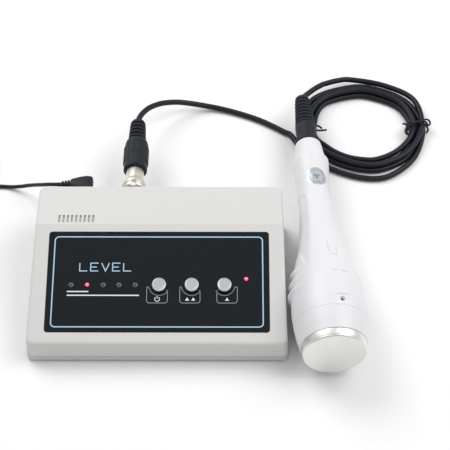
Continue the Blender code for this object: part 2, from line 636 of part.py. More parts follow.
def build_lights():
    """Clear domed lights standing on the control board."""
    base = GAP - CONTROL_BOARD_DEPTH
    names = [f"level_light_{i + 1}" for i in range(LED_COUNT)] + ["power_light"]
    lit = {"level_light_2", "power_light"}
    top = -0.15 * MM
    for name, (across, along) in zip(names, led_places()):
        dome = [(LED_RADIUS * math.sin(a), top - LED_RADIUS * (1 - math.cos(a)))
                for a in (math.pi / 2 * i / 4 for i in range(5))]
        light = turned(name, dome + [(LED_RADIUS, base), (0.0, base)], SLOPE_FRAME, 16, place=(across, along, 0.0))
        finish(light, LIT_RED if name in lit else CLEAR_LENS)


# ---------------------------------------------------------------- boards and what stands on them

def control_board_posts():
    """Where the cover's posts hold the control board."""
    across = CONTROL_BOARD_WIDTH / 2 - 4 * MM
    upper = -(CONTROL_BOARD_MARGIN + 4 * MM)
    lower = -(CONTROL_BOARD_MARGIN + CONTROL_BOARD_LENGTH - 4 * MM)
    return [(side * across, along) for side in (-1, 1) for along in (upper, lower)]


def standoff_places():
    """Where the base's standoffs hold the main board."""
    across = MAIN_BOARD_WIDTH / 2 - STANDOFF_INSET
    near = -(MAIN_BOARD_FROM_REAR + STANDOFF_INSET)
    far = -(MAIN_BOARD_FROM_REAR + MAIN_BOARD_DEPTH - STANDOFF_INSET)
    return [(side * across, along) for side in (-1, 1) for along in (near, far)]


def build_boards():
    """Control board under the slope with three switches; main board on the base's standoffs."""
    centre = -(CONTROL_BOARD_MARGIN + CONTROL_BOARD_LENGTH / 2)
    board = box("control_board", (CONTROL_BOARD_WIDTH, CONTROL_BOARD_LENGTH, BOARD_THICKNESS),
                (0.0, centre, -CONTROL_BOARD_DEPTH - BOARD_THICKNESS / 2), SLOPE_FRAME)
    finish(board, BOARD_GREEN, smooth=False)
    switch_base = GAP - CONTROL_BOARD_DEPTH
    switch_top = switch_base + SWITCH_HEIGHT
    for name, (across, along) in zip(("on_off_switch", "fast_up_switch", "slow_up_switch"), button_places()):
        switch = box(name, (SWITCH_SIZE, SWITCH_SIZE, SWITCH_HEIGHT),
                     (across, along, (switch_base + switch_top) / 2), SLOPE_FRAME)
        combine(switch, rod(f"{name}_bore", BUTTON_STEM_RADIUS + GAP, switch_top - 0.7 * MM - BUTTON_TRAVEL - GAP,
                            switch_top + MM, SLOPE_FRAME, (across, along), cutter=True, sides=16), "DIFFERENCE")
        finish(switch, BLACK_PLASTIC)

    middle = -(MAIN_BOARD_FROM_REAR + MAIN_BOARD_DEPTH / 2)
    main = box("main_board", (MAIN_BOARD_WIDTH, MAIN_BOARD_DEPTH, BOARD_THICKNESS),
               (0.0, middle, MAIN_BOARD_TOP - BOARD_THICKNESS / 2), CONSOLE)
    finish(main, BOARD_GREEN, smooth=False)


def build_main_board_parts():
    """Transformer, heatsink with its transistor, capacitor and the ribbon up to the control board."""
    stand = MAIN_BOARD_TOP + GAP
    near = -MAIN_BOARD_FROM_REAR
    core_at = (0.25 * MAIN_BOARD_WIDTH, near - 11 * MM, stand + 8 * MM)
    core = box("transformer", (24 * MM, 9 * MM, 16 * MM), core_at, CONSOLE)
    winding = box("transformer_winding", (15 * MM, 17 * MM, 12 * MM), core_at, CONSOLE, cutter=True)
    combine(core, winding, "UNION")
    finish(core, FERRITE, smooth=False)

    sink_width = 0.3 * MAIN_BOARD_WIDTH
    fin_pitch = (sink_width - 2.4 * MM) / 4
    fins = [(-sink_width / 2, 0.0), (sink_width / 2, 0.0)]
    for fin in range(4, -1, -1):
        left = -sink_width / 2 + fin * fin_pitch
        right = left + 2.4 * MM
        if fin < 4:
            fins += [(right, 2.4 * MM)]
        fins += [(right, 9 * MM), (left, 9 * MM)]
        if fin:
            fins += [(left, 2.4 * MM)]
    sink_across = -0.125 * MAIN_BOARD_WIDTH
    sink_back = near - 6 * MM
    half_turn = Matrix.Rotation(math.pi, 4, "Z")
    sink = prism("heatsink", fins, 17 * MM, CONSOLE, turn=half_turn, place=(sink_across, sink_back, stand + 8.5 * MM))
    finish(sink, DARK_ALUMINIUM, smooth=False)
    device = box("power_transistor", (10 * MM, 4.4 * MM, 9.2 * MM),
                 (sink_across, sink_back + GAP + 2.2 * MM, stand + 4.6 * MM), CONSOLE)
    tab = box("transistor_tab", (10 * MM, 1.3 * MM, 15.4 * MM),
              (sink_across, sink_back + GAP + 0.65 * MM, stand + 7.7 * MM), CONSOLE, cutter=True)
    combine(device, tab, "UNION")
    finish(device, BLACK_PLASTIC, smooth=False)

    can = turned("filter_capacitor", [
        (0.0, 15.6 * MM), (4.2 * MM, 15.6 * MM), (5.0 * MM, 15.0 * MM), (5.0 * MM, 3.6 * MM), (4.6 * MM, 3.0 * MM),
        (5.0 * MM, 2.4 * MM), (5.0 * MM, 0.0), (0.0, 0.0)], CONSOLE, 20,
        place=(-0.375 * MAIN_BOARD_WIDTH, near - 9 * MM, stand))
    finish(can, CAN_BLUE)

    along = CONTROL_BOARD_MARGIN + 5 * MM
    depth = CONTROL_BOARD_DEPTH + BOARD_THICKNESS + GAP
    top_y = -DECK_DEPTH - along * math.cos(SLOPE) + depth * math.sin(SLOPE)
    top_z = CASE_LIFT + REAR_HEIGHT - along * math.sin(SLOPE) - depth * math.cos(SLOPE)
    low_y = min(near - MAIN_BOARD_DEPTH + 8 * MM, top_y - 2 * MM)
    thick = 1.0 * MM
    mid_z = (top_z + stand) / 2
    band = [(low_y, stand), (low_y + thick, stand), (low_y + thick, mid_z - MM), (top_y + thick, mid_z + 2 * MM),
            (top_y + thick, top_z), (top_y, top_z - thick * math.tan(SLOPE)), (top_y, mid_z + 2.6 * MM),
            (low_y, mid_z - 0.4 * MM)]
    ribbon = prism("ribbon_cable", band, 15 * MM, CONSOLE, turn=SIDEWAYS, place=(4 * MM, 0.0, 0.0))
    finish(ribbon, RIBBON_GREY, smooth=False)


# ---------------------------------------------------------------- rear panel, sockets and plugs

def build_rear_panel():
    """Plate that fills the rear window from inside, with holes for the two sockets."""
    bottom = CASE_LIFT + PANEL_BOTTOM
    top = CASE_LIFT + REAR_HEIGHT - PANEL_TOP_MARGIN
    back = -(WALL + GAP + PANEL_THICKNESS)
    panel = box("rear_panel", (PANEL_WIDTH - 2 * GAP, -back - GAP, top - bottom - 2 * GAP),
                (0.0, (back - GAP) / 2, (top + bottom) / 2), CONSOLE)
    flange = box("panel_flange", (PANEL_WIDTH + 2 * PANEL_FLANGE, PANEL_THICKNESS, top - bottom + 2 * PANEL_FLANGE),
                 (0.0, back + PANEL_THICKNESS / 2, (top + bottom) / 2), CONSOLE, cutter=True)
    combine(panel, flange, "UNION")
    combine(panel, rod("panel_output_hole", SOCKET_NECK_RADIUS + GAP, -10 * MM, 10 * MM, OUTPUT_AXIS, cutter=True),
            "DIFFERENCE")
    combine(panel, rod("panel_supply_hole", SUPPLY_NECK_RADIUS + GAP, -10 * MM, 10 * MM, SUPPLY_AXIS, cutter=True),
            "DIFFERENCE")
    finish(panel, CASE_PLASTIC)


def build_output_socket():
    """Chassis socket with a bayonet barrel, and the nut that clamps it to the panel."""
    inside = -(WALL + 2 * GAP + PANEL_THICKNESS)
    socket = turned("output_socket", [
        (0.0, SOCKET_REACH - 5 * MM), (3.4 * MM, SOCKET_REACH - 5 * MM), (3.4 * MM, SOCKET_REACH),
        (SOCKET_NECK_RADIUS, SOCKET_REACH), (SOCKET_NECK_RADIUS, inside), (SOCKET_BODY_RADIUS, inside),
        (SOCKET_BODY_RADIUS, inside - 3 * MM), (SOCKET_NECK_RADIUS, inside - 3 * MM),
        (SOCKET_NECK_RADIUS, inside - 9 * MM), (0.0, inside - 9 * MM)], OUTPUT_AXIS, 24)
    finish(socket, NICKEL)
    nut = prism("output_socket_nut", hexagon(15.0 * MM), 2.4 * MM, OUTPUT_AXIS, place=(0.0, 0.0, 1.2 * MM))
    combine(nut, rod("output_nut_bore", SOCKET_NECK_RADIUS + GAP, -5 * MM, 10 * MM, OUTPUT_AXIS, cutter=True),
            "DIFFERENCE")
    finish(nut, NICKEL, smooth=False)


def build_output_plug():
    """Bayonet sleeve that turns on the socket, and the moulded plug with its ribbed strain relief."""
    bore = SOCKET_NECK_RADIUS + GAP
    skin = bore + SLEEVE_WALL
    sleeve = turned("output_plug_sleeve", [
        (bore, SLEEVE_END), (skin - 0.3 * MM, SLEEVE_END), (skin, SLEEVE_END - 0.3 * MM),
        (skin, SLEEVE_START + 4.9 * MM), (skin + 0.6 * MM, SLEEVE_START + 4.2 * MM),
        (RING_RADIUS - 0.3 * MM, SLEEVE_START + 3.4 * MM), (RING_RADIUS, SLEEVE_START + 2.7 * MM),
        (RING_RADIUS, SLEEVE_START + 0.4 * MM), (RING_RADIUS - 0.4 * MM, SLEEVE_START), (bore, SLEEVE_START)],
        OUTPUT_AXIS, 28, loop=True)
    for number, angle in enumerate((0.35 * math.pi, 1.35 * math.pi)):
        aim = Matrix.Rotation(angle, 4, "Z")
        notch = box(f"sleeve_notch_{number}", (RING_RADIUS, 2.4 * MM, 3.6 * MM),
                    aim @ Vector((RING_RADIUS - 1.5 * MM, 0.0, SLEEVE_START)), OUTPUT_AXIS, cutter=True, turn=aim)
        combine(sleeve, notch, "DIFFERENCE")
    finish(sleeve, NICKEL)

    shoulder = PLUG_START + PLUG_BODY_LENGTH
    profile = [(0.0, PLUG_END), (RELIEF_TIP_RADIUS - 0.8 * MM, PLUG_END), (RELIEF_TIP_RADIUS, PLUG_END - 0.8 * MM)]
    ribs = 5
    pitch = (RELIEF_LENGTH - 2.0 * MM) / ribs
    for rib in range(ribs):
        top = PLUG_END - 1.6 * MM - rib * pitch
        swell = RELIEF_TIP_RADIUS + (RELIEF_BASE_RADIUS - RELIEF_TIP_RADIUS) * (rib + 1) / ribs
        profile += [(swell, top), (swell - 0.7 * MM, top - 0.8 * MM), (swell, top - 1.6 * MM)]
    stub_end = SOCKET_REACH + GAP + 0.5 * MM
    profile += [
        (RELIEF_BASE_RADIUS, shoulder), (PLUG_BODY_RADIUS - 0.9 * MM, shoulder - 0.2 * MM),
        (PLUG_BODY_RADIUS, shoulder - 2.0 * MM), (PLUG_BODY_RADIUS, PLUG_START + 2.4 * MM),
        (PLUG_BODY_RADIUS - 1.3 * MM, PLUG_START), (SOCKET_NECK_RADIUS, PLUG_START), (SOCKET_NECK_RADIUS, stub_end),
        (0.0, stub_end)]
    plug = turned("output_plug", profile, OUTPUT_AXIS, 20)
    pads = box("plug_pads", (2 * PLUG_BODY_RADIUS + 0.9 * MM, 6.0 * MM, 0.6 * PLUG_BODY_LENGTH),
               (0.0, 0.0, PLUG_START + 0.5 * PLUG_BODY_LENGTH), OUTPUT_AXIS, cutter=True, rounding=0.5 * MM,
               rounding_steps=1)
    combine(plug, pads, "UNION")
    finish(plug, CORD_BLACK)


def build_supply_socket():
    """Low-voltage socket through the panel, with its round nut."""
    inside = -(WALL + 2 * GAP + PANEL_THICKNESS)
    bore = SUPPLY_BARREL_RADIUS + GAP
    front = 2.8 * MM
    socket = turned("supply_socket", [
        (0.0, -7 * MM), (bore, -7 * MM), (bore, front), (SUPPLY_NECK_RADIUS, front), (SUPPLY_NECK_RADIUS, inside),
        (SUPPLY_NECK_RADIUS + 1.7 * MM, inside), (SUPPLY_NECK_RADIUS + 1.7 * MM, inside - 3 * MM),
        (SUPPLY_NECK_RADIUS, inside - 3 * MM), (SUPPLY_NECK_RADIUS, inside - 7 * MM), (0.0, inside - 7 * MM)],
        SUPPLY_AXIS, 20)
    finish(socket, BLACK_PLASTIC)
    nut_bore = SUPPLY_NECK_RADIUS + GAP
    nut = turned("supply_socket_nut", [
        (nut_bore, 2.2 * MM), (nut_bore + 1.2 * MM, 2.2 * MM), (nut_bore + 1.5 * MM, 1.9 * MM),
        (nut_bore + 1.5 * MM, 0.0), (nut_bore, 0.0)], SUPPLY_AXIS, 20, loop=True)
    finish(nut, NICKEL)


def build_supply_plug():
    """Right-angle plug head with a tapering ribbed arm, and its barrel in the socket."""
    start = SUPPLY_HEAD_START
    end = start + SUPPLY_HEAD_LENGTH
    bore = SUPPLY_BARREL_RADIUS + GAP
    head = turned("supply_plug", [
        (0.0, end), (SUPPLY_HEAD_RADIUS - 1.6 * MM, end), (SUPPLY_HEAD_RADIUS - 0.5 * MM, end - 0.5 * MM),
        (SUPPLY_HEAD_RADIUS, end - 1.6 * MM), (SUPPLY_HEAD_RADIUS, start + 0.6 * MM),
        (SUPPLY_HEAD_RADIUS - 0.6 * MM, start), (bore, start), (bore, start + 2.2 * MM), (0.0, start + 2.2 * MM)],
        SUPPLY_AXIS, 20)
    profile = [(0.0, SUPPLY_ARM_LENGTH), (2.0 * MM, SUPPLY_ARM_LENGTH), (2.5 * MM, SUPPLY_ARM_LENGTH - 0.5 * MM)]
    for rib in range(3):
        top = SUPPLY_ARM_LENGTH - 1.2 * MM - rib * 1.9 * MM
        swell = (2.7 + 0.4 * rib) * MM
        profile += [(swell, top), (swell - 0.5 * MM, top - 0.6 * MM), (swell, top - 1.3 * MM)]
    profile += [(4.4 * MM, SUPPLY_ARM_LENGTH - 8.4 * MM), (4.6 * MM, 0.0), (0.0, 0.0)]
    aim = Matrix.Rotation(-math.pi / 2, 4, "Y")
    arm = turned("supply_arm", profile, SUPPLY_AXIS, 16, cutter=True, turn=aim,
                 place=(0.0, 0.0, start + 8.3 * MM))
    combine(head, arm, "UNION")
    finish(head, CORD_BLACK)
    barrel = turned("supply_plug_barrel", [
        (0.0, start + 1.8 * MM), (SUPPLY_BARREL_RADIUS, start + 1.8 * MM),
        (SUPPLY_BARREL_RADIUS, -5.4 * MM), (SUPPLY_BARREL_RADIUS - 0.5 * MM, -6.0 * MM),
        (1.0 * MM, -6.0 * MM), (1.0 * MM, -1.0 * MM), (0.0, -1.0 * MM)], SUPPLY_AXIS, 16)
    finish(barrel, NICKEL)


# ---------------------------------------------------------------- handpiece

def handpiece_matrix():
    """Axes of the handpiece: Z towards the cable, Y out through the shell screw."""
    nose = Vector((math.sin(HAND_HEADING) * math.cos(HAND_RISE), -math.cos(HAND_HEADING) * math.cos(HAND_RISE),
                   math.sin(HAND_RISE)))
    tail = -nose
    upward = (Vector((0.0, 0.0, 1.0)) - tail * tail.z).normalized()
    out = upward * math.cos(HAND_ROLL) + tail.cross(upward) * math.sin(HAND_ROLL)
    across = out.cross(tail)
    axes = Matrix((across, out, tail)).transposed().to_4x4()
    face = Vector((CASE_WIDTH / 2 + HAND_BESIDE, -HAND_IN_FRONT, HAND_FACE_HEIGHT))
    return Matrix.Translation(face) @ axes


def build_head():
    """Treatment head: aluminium cup with a flat face, the piezo disc inside it, its seal and the front collar."""
    bore = HEAD_RADIUS - HEAD_STEP - HEAD_WALL
    rear = HEAD_RADIUS - HEAD_STEP
    shown = HEAD_SHOWN
    cup = turned("head_cup", [
        (0.0, HEAD_FACE_THICKNESS), (bore, HEAD_FACE_THICKNESS), (bore, HEAD_DEPTH), (rear, HEAD_DEPTH),
        (rear, shown), (HEAD_RADIUS + 0.75 * MM, shown), (HEAD_RADIUS + 0.85 * MM, shown - 0.4 * MM),
        (HEAD_RADIUS + 0.3 * MM, 0.5 * MM), (HEAD_RADIUS - 0.2 * MM, 0.0), (0.0, 0.0)], HANDPIECE, 36)
    finish(cup, ALUMINIUM)
    disc_base = HEAD_FACE_THICKNESS + GAP
    disc = turned("piezo_disc", [(0.0, disc_base + PIEZO_THICKNESS), (PIEZO_RADIUS, disc_base + PIEZO_THICKNESS),
                                 (PIEZO_RADIUS, disc_base), (0.0, disc_base)], HANDPIECE, 24)
    finish(disc, CERAMIC_WHITE)
    seal = turned("head_seal", [
        (rear - 3.0 * MM, HEAD_DEPTH + GAP + 2.0 * MM), (rear, HEAD_DEPTH + GAP + 2.0 * MM),
        (rear, HEAD_DEPTH + GAP), (rear - 3.0 * MM, HEAD_DEPTH + GAP)], HANDPIECE, 32, loop=True)
    finish(seal, RUBBER)
    front_radius = SHELL_PROFILE[0][1] * MM
    start = shown + GAP
    end = COLLAR_END - GAP
    collar = turned("nose_collar", [
        (rear + GAP, end), (front_radius - 0.3 * MM, end), (front_radius - 0.05 * MM, end - 0.5 * MM),
        (front_radius - 0.3 * MM, end - 3.0 * MM), (front_radius - 0.9 * MM, end - 7.0 * MM),
        (front_radius - 1.6 * MM, end - 10.6 * MM), (front_radius - 2.2 * MM, start + 0.6 * MM),
        (front_radius - 2.7 * MM, start), (rear + GAP, start)], HANDPIECE, 36, loop=True)
    finish(collar, HAND_WHITE)


def shell_radius(distance):
    """Outer radius of the handle at a distance from the face."""
    table = np.array(SHELL_PROFILE) * MM
    return float(np.interp(distance, table[:, 0], table[:, 1]))


def build_shells():
    """Two half shells of the handle with a screw boss and board posts, the screw, and the matching board."""
    outer = [(radius * MM, distance * MM) for distance, radius in reversed(SHELL_PROFILE)]
    inner = [(radius * MM - HAND_WALL, distance * MM) for distance, radius in SHELL_PROFILE]
    reach = shell_radius(HAND_SCREW_AT) - HAND_WALL / 2
    head_seat = reach - 2.6 * MM
    board_start = 42.0 * MM
    board_length = 50.0 * MM
    board_top = -2.0 * MM
    for name, side in (("handpiece_upper_shell", 1), ("handpiece_lower_shell", -1)):
        shell = turned(name, outer + inner, HANDPIECE, 36, loop=True)
        half = box(f"{name}_half", (60 * MM, 60 * MM, SHELL_END * 1.3),
                   (0.0, side * (30 * MM + GAP / 2), SHELL_END / 2), HANDPIECE, cutter=True)
        combine(shell, half, "INTERSECT")
        aim = Matrix.Rotation(-side * math.pi / 2, 4, "X")
        boss = turned(f"{name}_boss", [(0.0, reach), (2.6 * MM, reach), (2.6 * MM, GAP / 2), (0.0, GAP / 2)],
                      HANDPIECE, 16, cutter=True, turn=aim, place=(0.0, 0.0, HAND_SCREW_AT))
        combine(shell, boss, "UNION")
        if side > 0:
            bore = turned("upper_screw_bore", [
                (0.0, reach + 3 * MM), (HAND_SCREW_HEAD + THREAD_GAP, reach + 3 * MM),
                (HAND_SCREW_HEAD + THREAD_GAP, head_seat), (HAND_SCREW_RADIUS + THREAD_GAP, head_seat),
                (HAND_SCREW_RADIUS + THREAD_GAP, -MM), (0.0, -MM)], HANDPIECE, 16, cutter=True, turn=aim,
                place=(0.0, 0.0, HAND_SCREW_AT))
            combine(shell, bore, "DIFFERENCE")
        else:
            pilot = turned("lower_screw_pilot", [
                (0.0, 9.0 * MM), (HAND_SCREW_RADIUS + THREAD_GAP, 9.0 * MM), (HAND_SCREW_RADIUS + THREAD_GAP, -MM),
                (0.0, -MM)], HANDPIECE, 12, cutter=True, turn=aim, place=(0.0, 0.0, HAND_SCREW_AT))
            combine(shell, pilot, "DIFFERENCE")
            for number, place in enumerate((board_start + 5 * MM, board_start + board_length - 5 * MM)):
                tall = shell_radius(place) - HAND_WALL / 2
                post = turned(f"lower_post_{number}", [
                    (0.0, tall), (1.6 * MM, tall), (1.6 * MM, BOARD_THICKNESS + GAP - board_top),
                    (0.0, BOARD_THICKNESS + GAP - board_top)], HANDPIECE, 12, cutter=True, turn=aim,
                    place=(0.0, 0.0, place))
                combine(shell, post, "UNION")
        finish(shell, HAND_WHITE)
    aim = Matrix.Rotation(-math.pi / 2, 4, "X")
    screw = turned("shell_screw", [
        (0.0, head_seat + GAP + 1.2 * MM), (HAND_SCREW_HEAD - 0.3 * MM, head_seat + GAP + 1.2 * MM),
        (HAND_SCREW_HEAD, head_seat + GAP + 0.9 * MM), (HAND_SCREW_HEAD, head_seat + GAP),
        (HAND_SCREW_RADIUS, head_seat + GAP), (HAND_SCREW_RADIUS, -7.2 * MM), (0.0, -8.0 * MM)],
        HANDPIECE, 12, turn=aim, place=(0.0, 0.0, HAND_SCREW_AT))
    finish(screw, STEEL)
    board = box("matching_board", (15 * MM, BOARD_THICKNESS, board_length),
                (0.0, board_top - BOARD_THICKNESS / 2, board_start + board_length / 2), HANDPIECE)
    finish(board, BOARD_GREEN, smooth=False)
    coil = turned("matching_inductor", [
        (2.6 * MM, 4.5 * MM), (5.6 * MM, 4.5 * MM), (6.0 * MM, 4.1 * MM), (6.0 * MM, 0.4 * MM), (5.6 * MM, 0.0),
        (2.6 * MM, 0.0)], HANDPIECE, 20, loop=True, turn=aim,
        place=(0.0, board_top + GAP, board_start + board_length * 0.4))
    finish(coil, FERRITE)


def build_boot():
    """Cable boot: a neck inside the shells, a flange, a plain part and a ribbed tapering tail."""
    flange = SHELL_END + GAP
    ribs_start = BOOT_END - 29.0 * MM
    profile = [(0.0, BOOT_END), (BOOT_TIP_RADIUS - 0.9 * MM, BOOT_END), (BOOT_TIP_RADIUS, BOOT_END - 0.9 * MM)]
    pitch = 25.0 * MM / BOOT_RIB_COUNT
    for rib in range(BOOT_RIB_COUNT):
        top = BOOT_END - 3.2 * MM - rib * pitch
        swell = BOOT_TIP_RADIUS + 0.4 * MM + 1.5 * MM * (rib + 1) / BOOT_RIB_COUNT
        profile += [(swell, top), (swell - 0.8 * MM, top - 0.8 * MM), (swell, top - 2.0 * MM)]
    profile += [
        (BOOT_RADIUS - 0.6 * MM, ribs_start), (BOOT_RADIUS - 0.3 * MM, flange + 5.0 * MM),
        (BOOT_RADIUS + 0.9 * MM, flange + 2.8 * MM), (BOOT_RADIUS + 0.9 * MM, flange + 0.5 * MM),
        (BOOT_RADIUS + 0.4 * MM, flange), (BOOT_NECK_RADIUS, flange), (BOOT_NECK_RADIUS, flange - 7.0 * MM),
        (0.0, flange - 7.0 * MM)]
    boot = turned("handpiece_boot", profile, HANDPIECE, 20)
    finish(boot, CORD_BLACK)


# ---------------------------------------------------------------- cords

def anchored(route, start, end):
    """The route's points moved so that its first and last points fall on the given places."""
    points = np.array(route, dtype=float) * MM
    steps = np.linalg.norm(np.diff(points, axis=0), axis=1)
    share = (np.concatenate([[0.0], np.cumsum(steps)]) / steps.sum())[:, None]
    first = np.array(start) - points[0]
    last = np.array(end) - points[-1]
    return points + (1 - share) * first + share * last


def cord(name, route, start, end, radius, spacing):
    """A cord laid along the route between two places."""
    obj = tube(name, smooth_route(anchored(route, start, end) / MM, spacing), radius, CONSOLE)
    return finish(obj, CORD_BLACK)


def shifted(place, side):
    """A place of a route, moved with the case's side."""
    return (place[0] * MM + side * SIDE_SHIFT, place[1] * MM, place[2] * MM)


def ring(name, centre, inner, outer, height, side):
    """A closed ring that stands for a coil of cord lying on the table."""
    soft = 0.25 * height
    obj = turned(name, [
        (inner + soft, height), (outer - soft, height), (outer, height - soft), (outer, soft), (outer - soft, 0.0),
        (inner + soft, 0.0), (inner, soft), (inner, height - soft)], CONSOLE, 32, loop=True,
        place=(centre[0] * MM + side * SIDE_SHIFT, centre[1] * MM, 0.0))
    return finish(obj, CORD_BLACK)


def build_handpiece_cable():
    """Cable from the output plug to a loose coil, and from the coil up to the handpiece's boot, with a twist tie."""
    plug_exit = (OUTPUT_ACROSS, PLUG_END + GAP, OUTPUT_HEIGHT)
    boot_exit = handpiece_matrix() @ Vector((0.0, 0.0, BOOT_END + GAP))
    cord("handpiece_cable_lead", LEAD_ROUTE, plug_exit, shifted(LEAD_ROUTE[-1], 1), LEAD_RADIUS, 7.5 * MM)
    cord("handpiece_cable_tail", TAIL_ROUTE, boot_exit, shifted(TAIL_ROUTE[-1], 1), LEAD_RADIUS, 4.0 * MM)
    ring("handpiece_cable_coil", COIL_CENTRE, COIL_INNER_RADIUS, COIL_OUTER_RADIUS, COIL_HEIGHT, 1)

    clear = GAP + TIE_WIRE
    near = COIL_INNER_RADIUS - clear
    far = COIL_OUTER_RADIUS + clear
    top = COIL_HEIGHT + clear
    arch = [(near, 1.2 * MM), (near, 0.72 * top), (near + 0.3 * clear, 0.9 * top), (near + 2.0 * clear, top),
            (far - 2.0 * clear, top), (far - 0.3 * clear, 0.9 * top), (far, 0.72 * top), (far, 1.2 * MM)]
    centre = Vector(shifted((*COIL_CENTRE, 0.0), 1))
    points = [centre + Vector((reach, 0.0, height)) for reach, height in arch]
    tie = tube("coil_tie", [tuple(point) for point in points], TIE_WIRE, CONSOLE)
    finish(tie, CORD_BLACK)


def build_supply_cord():
    """Thin cord from the right-angle plug to a coil beside the console and on to the wall adapter."""
    plug_exit = (SUPPLY_ACROSS - SUPPLY_ARM_LENGTH - GAP, SUPPLY_HEAD_START + 8.3 * MM, SUPPLY_HEIGHT)
    adapter = Vector(shifted(ADAPTER_CENTRE, -1))
    adapter_exit = adapter + Vector((0.0, ADAPTER_SIZE.y / 2 + ADAPTER_RELIEF + GAP, 0.0))
    cord("supply_cord_lead", SUPPLY_ROUTE, plug_exit, shifted(SUPPLY_ROUTE[-1], -1), SUPPLY_CORD_RADIUS, 5.5 * MM)
    ring("supply_cord_coil", SUPPLY_COIL_CENTRE, SUPPLY_COIL_INNER, SUPPLY_COIL_OUTER, SUPPLY_COIL_HEIGHT, -1)
    cord("supply_cord_tail", SUPPLY_TAIL_ROUTE, shifted(SUPPLY_TAIL_ROUTE[0], -1), adapter_exit,
         SUPPLY_CORD_RADIUS, 5.5 * MM)

    body = box("power_adapter", ADAPTER_SIZE, adapter, CONSOLE, rounding=3.0 * MM, rounding_steps=3)
    aim = Matrix.Rotation(-math.pi / 2, 4, "X")
    relief = turned("adapter_relief", [
        (0.0, ADAPTER_RELIEF), (2.2 * MM, ADAPTER_RELIEF), (4.0 * MM, 0.0), (4.0 * MM, -2 * MM), (0.0, -2 * MM)],
        CONSOLE, 16, cutter=True, turn=aim, place=adapter + Vector((0.0, ADAPTER_SIZE.y / 2, 0.0)))
    combine(body, relief, "UNION")
    finish(body, BLACK_PLASTIC)
    blade_centre = adapter - Vector((0.0, ADAPTER_SIZE.y / 2 + GAP + BLADE_SIZE.y / 2, 0.0))
    for name, side in (("adapter_blade_left", -1), ("adapter_blade_right", 1)):
        blade = box(name, BLADE_SIZE, blade_centre + Vector((side * BLADE_SPACING / 2, 0.0, 0.0)), CONSOLE)
        finish(blade, NICKEL, smooth=False)


def centre_on_origin():
    """Move the assembly so that everything but the cords is centred over the origin."""
    bpy.context.view_layer.update()
    graph = bpy.context.evaluated_depsgraph_get()
    corners = []
    for obj in PARTS.objects:
        if obj.type == "EMPTY" or obj.name in CORD_NODES:
            continue
        mesh = obj.evaluated_get(graph).to_mesh()
        corners += [obj.matrix_world @ vert.co for vert in mesh.vertices]
        obj.evaluated_get(graph).to_mesh_clear()
    spots = np.array([tuple(corner) for corner in corners])
    low = spots.min(axis=0)
    high = spots.max(axis=0)
    CONSOLE.location = (-(low[0] + high[0]) / 2, -(low[1] + high[1]) / 2, -low[2])


clear_scene()
PARTS = new_collection("ultrasound_therapy_device")
CUTTERS = new_collection("cutters")

CASE_PLASTIC = new_material("case_plastic", (0.72, 0.72, 0.70), 0.45)
BASE_PLASTIC = new_material("base_plastic", (0.62, 0.62, 0.61), 0.5)
HAND_WHITE = new_material("handpiece_plastic", (0.83, 0.83, 0.86), 0.35)
OVERLAY_BLACK = new_material("overlay_black", (0.015, 0.02, 0.028), 0.15)
SILVER = new_material("silver_cap", (0.78, 0.78, 0.80), 0.25, metallic=1.0)
NICKEL = new_material("nickel_plate", (0.72, 0.70, 0.66), 0.22, metallic=1.0)
ALUMINIUM = new_material("head_aluminium", (0.80, 0.80, 0.79), 0.38, metallic=1.0)
DARK_ALUMINIUM = new_material("dark_aluminium", (0.05, 0.05, 0.055), 0.5, metallic=1.0)
STEEL = new_material("screw_steel", (0.45, 0.45, 0.46), 0.35, metallic=1.0)
CORD_BLACK = new_material("cord_black", (0.035, 0.037, 0.042), 0.55)
BLACK_PLASTIC = new_material("black_plastic", (0.02, 0.02, 0.022), 0.45)
RUBBER = new_material("foot_rubber", (0.03, 0.03, 0.03), 0.8)
LIT_RED = new_material("light_lit", (1.0, 0.10, 0.20), 0.3, glow=2.0)
CLEAR_LENS = new_material("light_unlit", (0.35, 0.37, 0.30), 0.3)
BOARD_GREEN = new_material("board_green", (0.02, 0.16, 0.06), 0.5)
FERRITE = new_material("ferrite", (0.06, 0.06, 0.065), 0.6)
CAN_BLUE = new_material("capacitor_sleeve", (0.02, 0.04, 0.18), 0.35)
RIBBON_GREY = new_material("ribbon_grey", (0.40, 0.40, 0.40), 0.6)
CERAMIC_WHITE = new_material("piezo_ceramic", (0.75, 0.70, 0.60), 0.4)

QUARTER_BACK = Matrix.Rotation(-math.pi / 2, 4, "X")
CONSOLE = new_frame("assembly", Matrix.Identity(4))
SLOPE_FRAME = new_frame(
    "slope_frame", Matrix.Translation((0.0, -DECK_DEPTH, CASE_LIFT + REAR_HEIGHT)) @ Matrix.Rotation(SLOPE, 4, "X"),
    CONSOLE)
OUTPUT_AXIS = new_frame(
    "output_axis", Matrix.Translation((OUTPUT_ACROSS, 0.0, OUTPUT_HEIGHT)) @ QUARTER_BACK, CONSOLE)
SUPPLY_AXIS = new_frame(
    "supply_axis", Matrix.Translation((SUPPLY_ACROSS, 0.0, SUPPLY_HEIGHT)) @ QUARTER_BACK, CONSOLE)
HANDPIECE = new_frame("handpiece_axis", handpiece_matrix(), CONSOLE)

build_top_cover()
build_base()
build_feet_and_screws()
build_overlay()
build_buttons()
build_lights()
build_boards()
build_main_board_parts()
build_rear_panel()
build_output_socket()
build_output_plug()
build_supply_socket()
build_supply_plug()
build_head()
build_shells()
build_boot()
build_handpiece_cable()
build_supply_cord()
centre_on_origin()
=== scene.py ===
"""Looks of the desktop ultrasound therapy device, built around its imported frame.

The console stands on a pale table with its sloped, glossy front panel towards the user. A white handpiece lies beside
it, joined to the console's rear by a black cable that is coiled on the table behind the handpiece.
"""

import json
import logging
import math
from collections.abc import Callable
from dataclasses import dataclass, field
from enum import Enum

import bmesh
import bpy
import numpy as np
from mathutils import Matrix, Vector


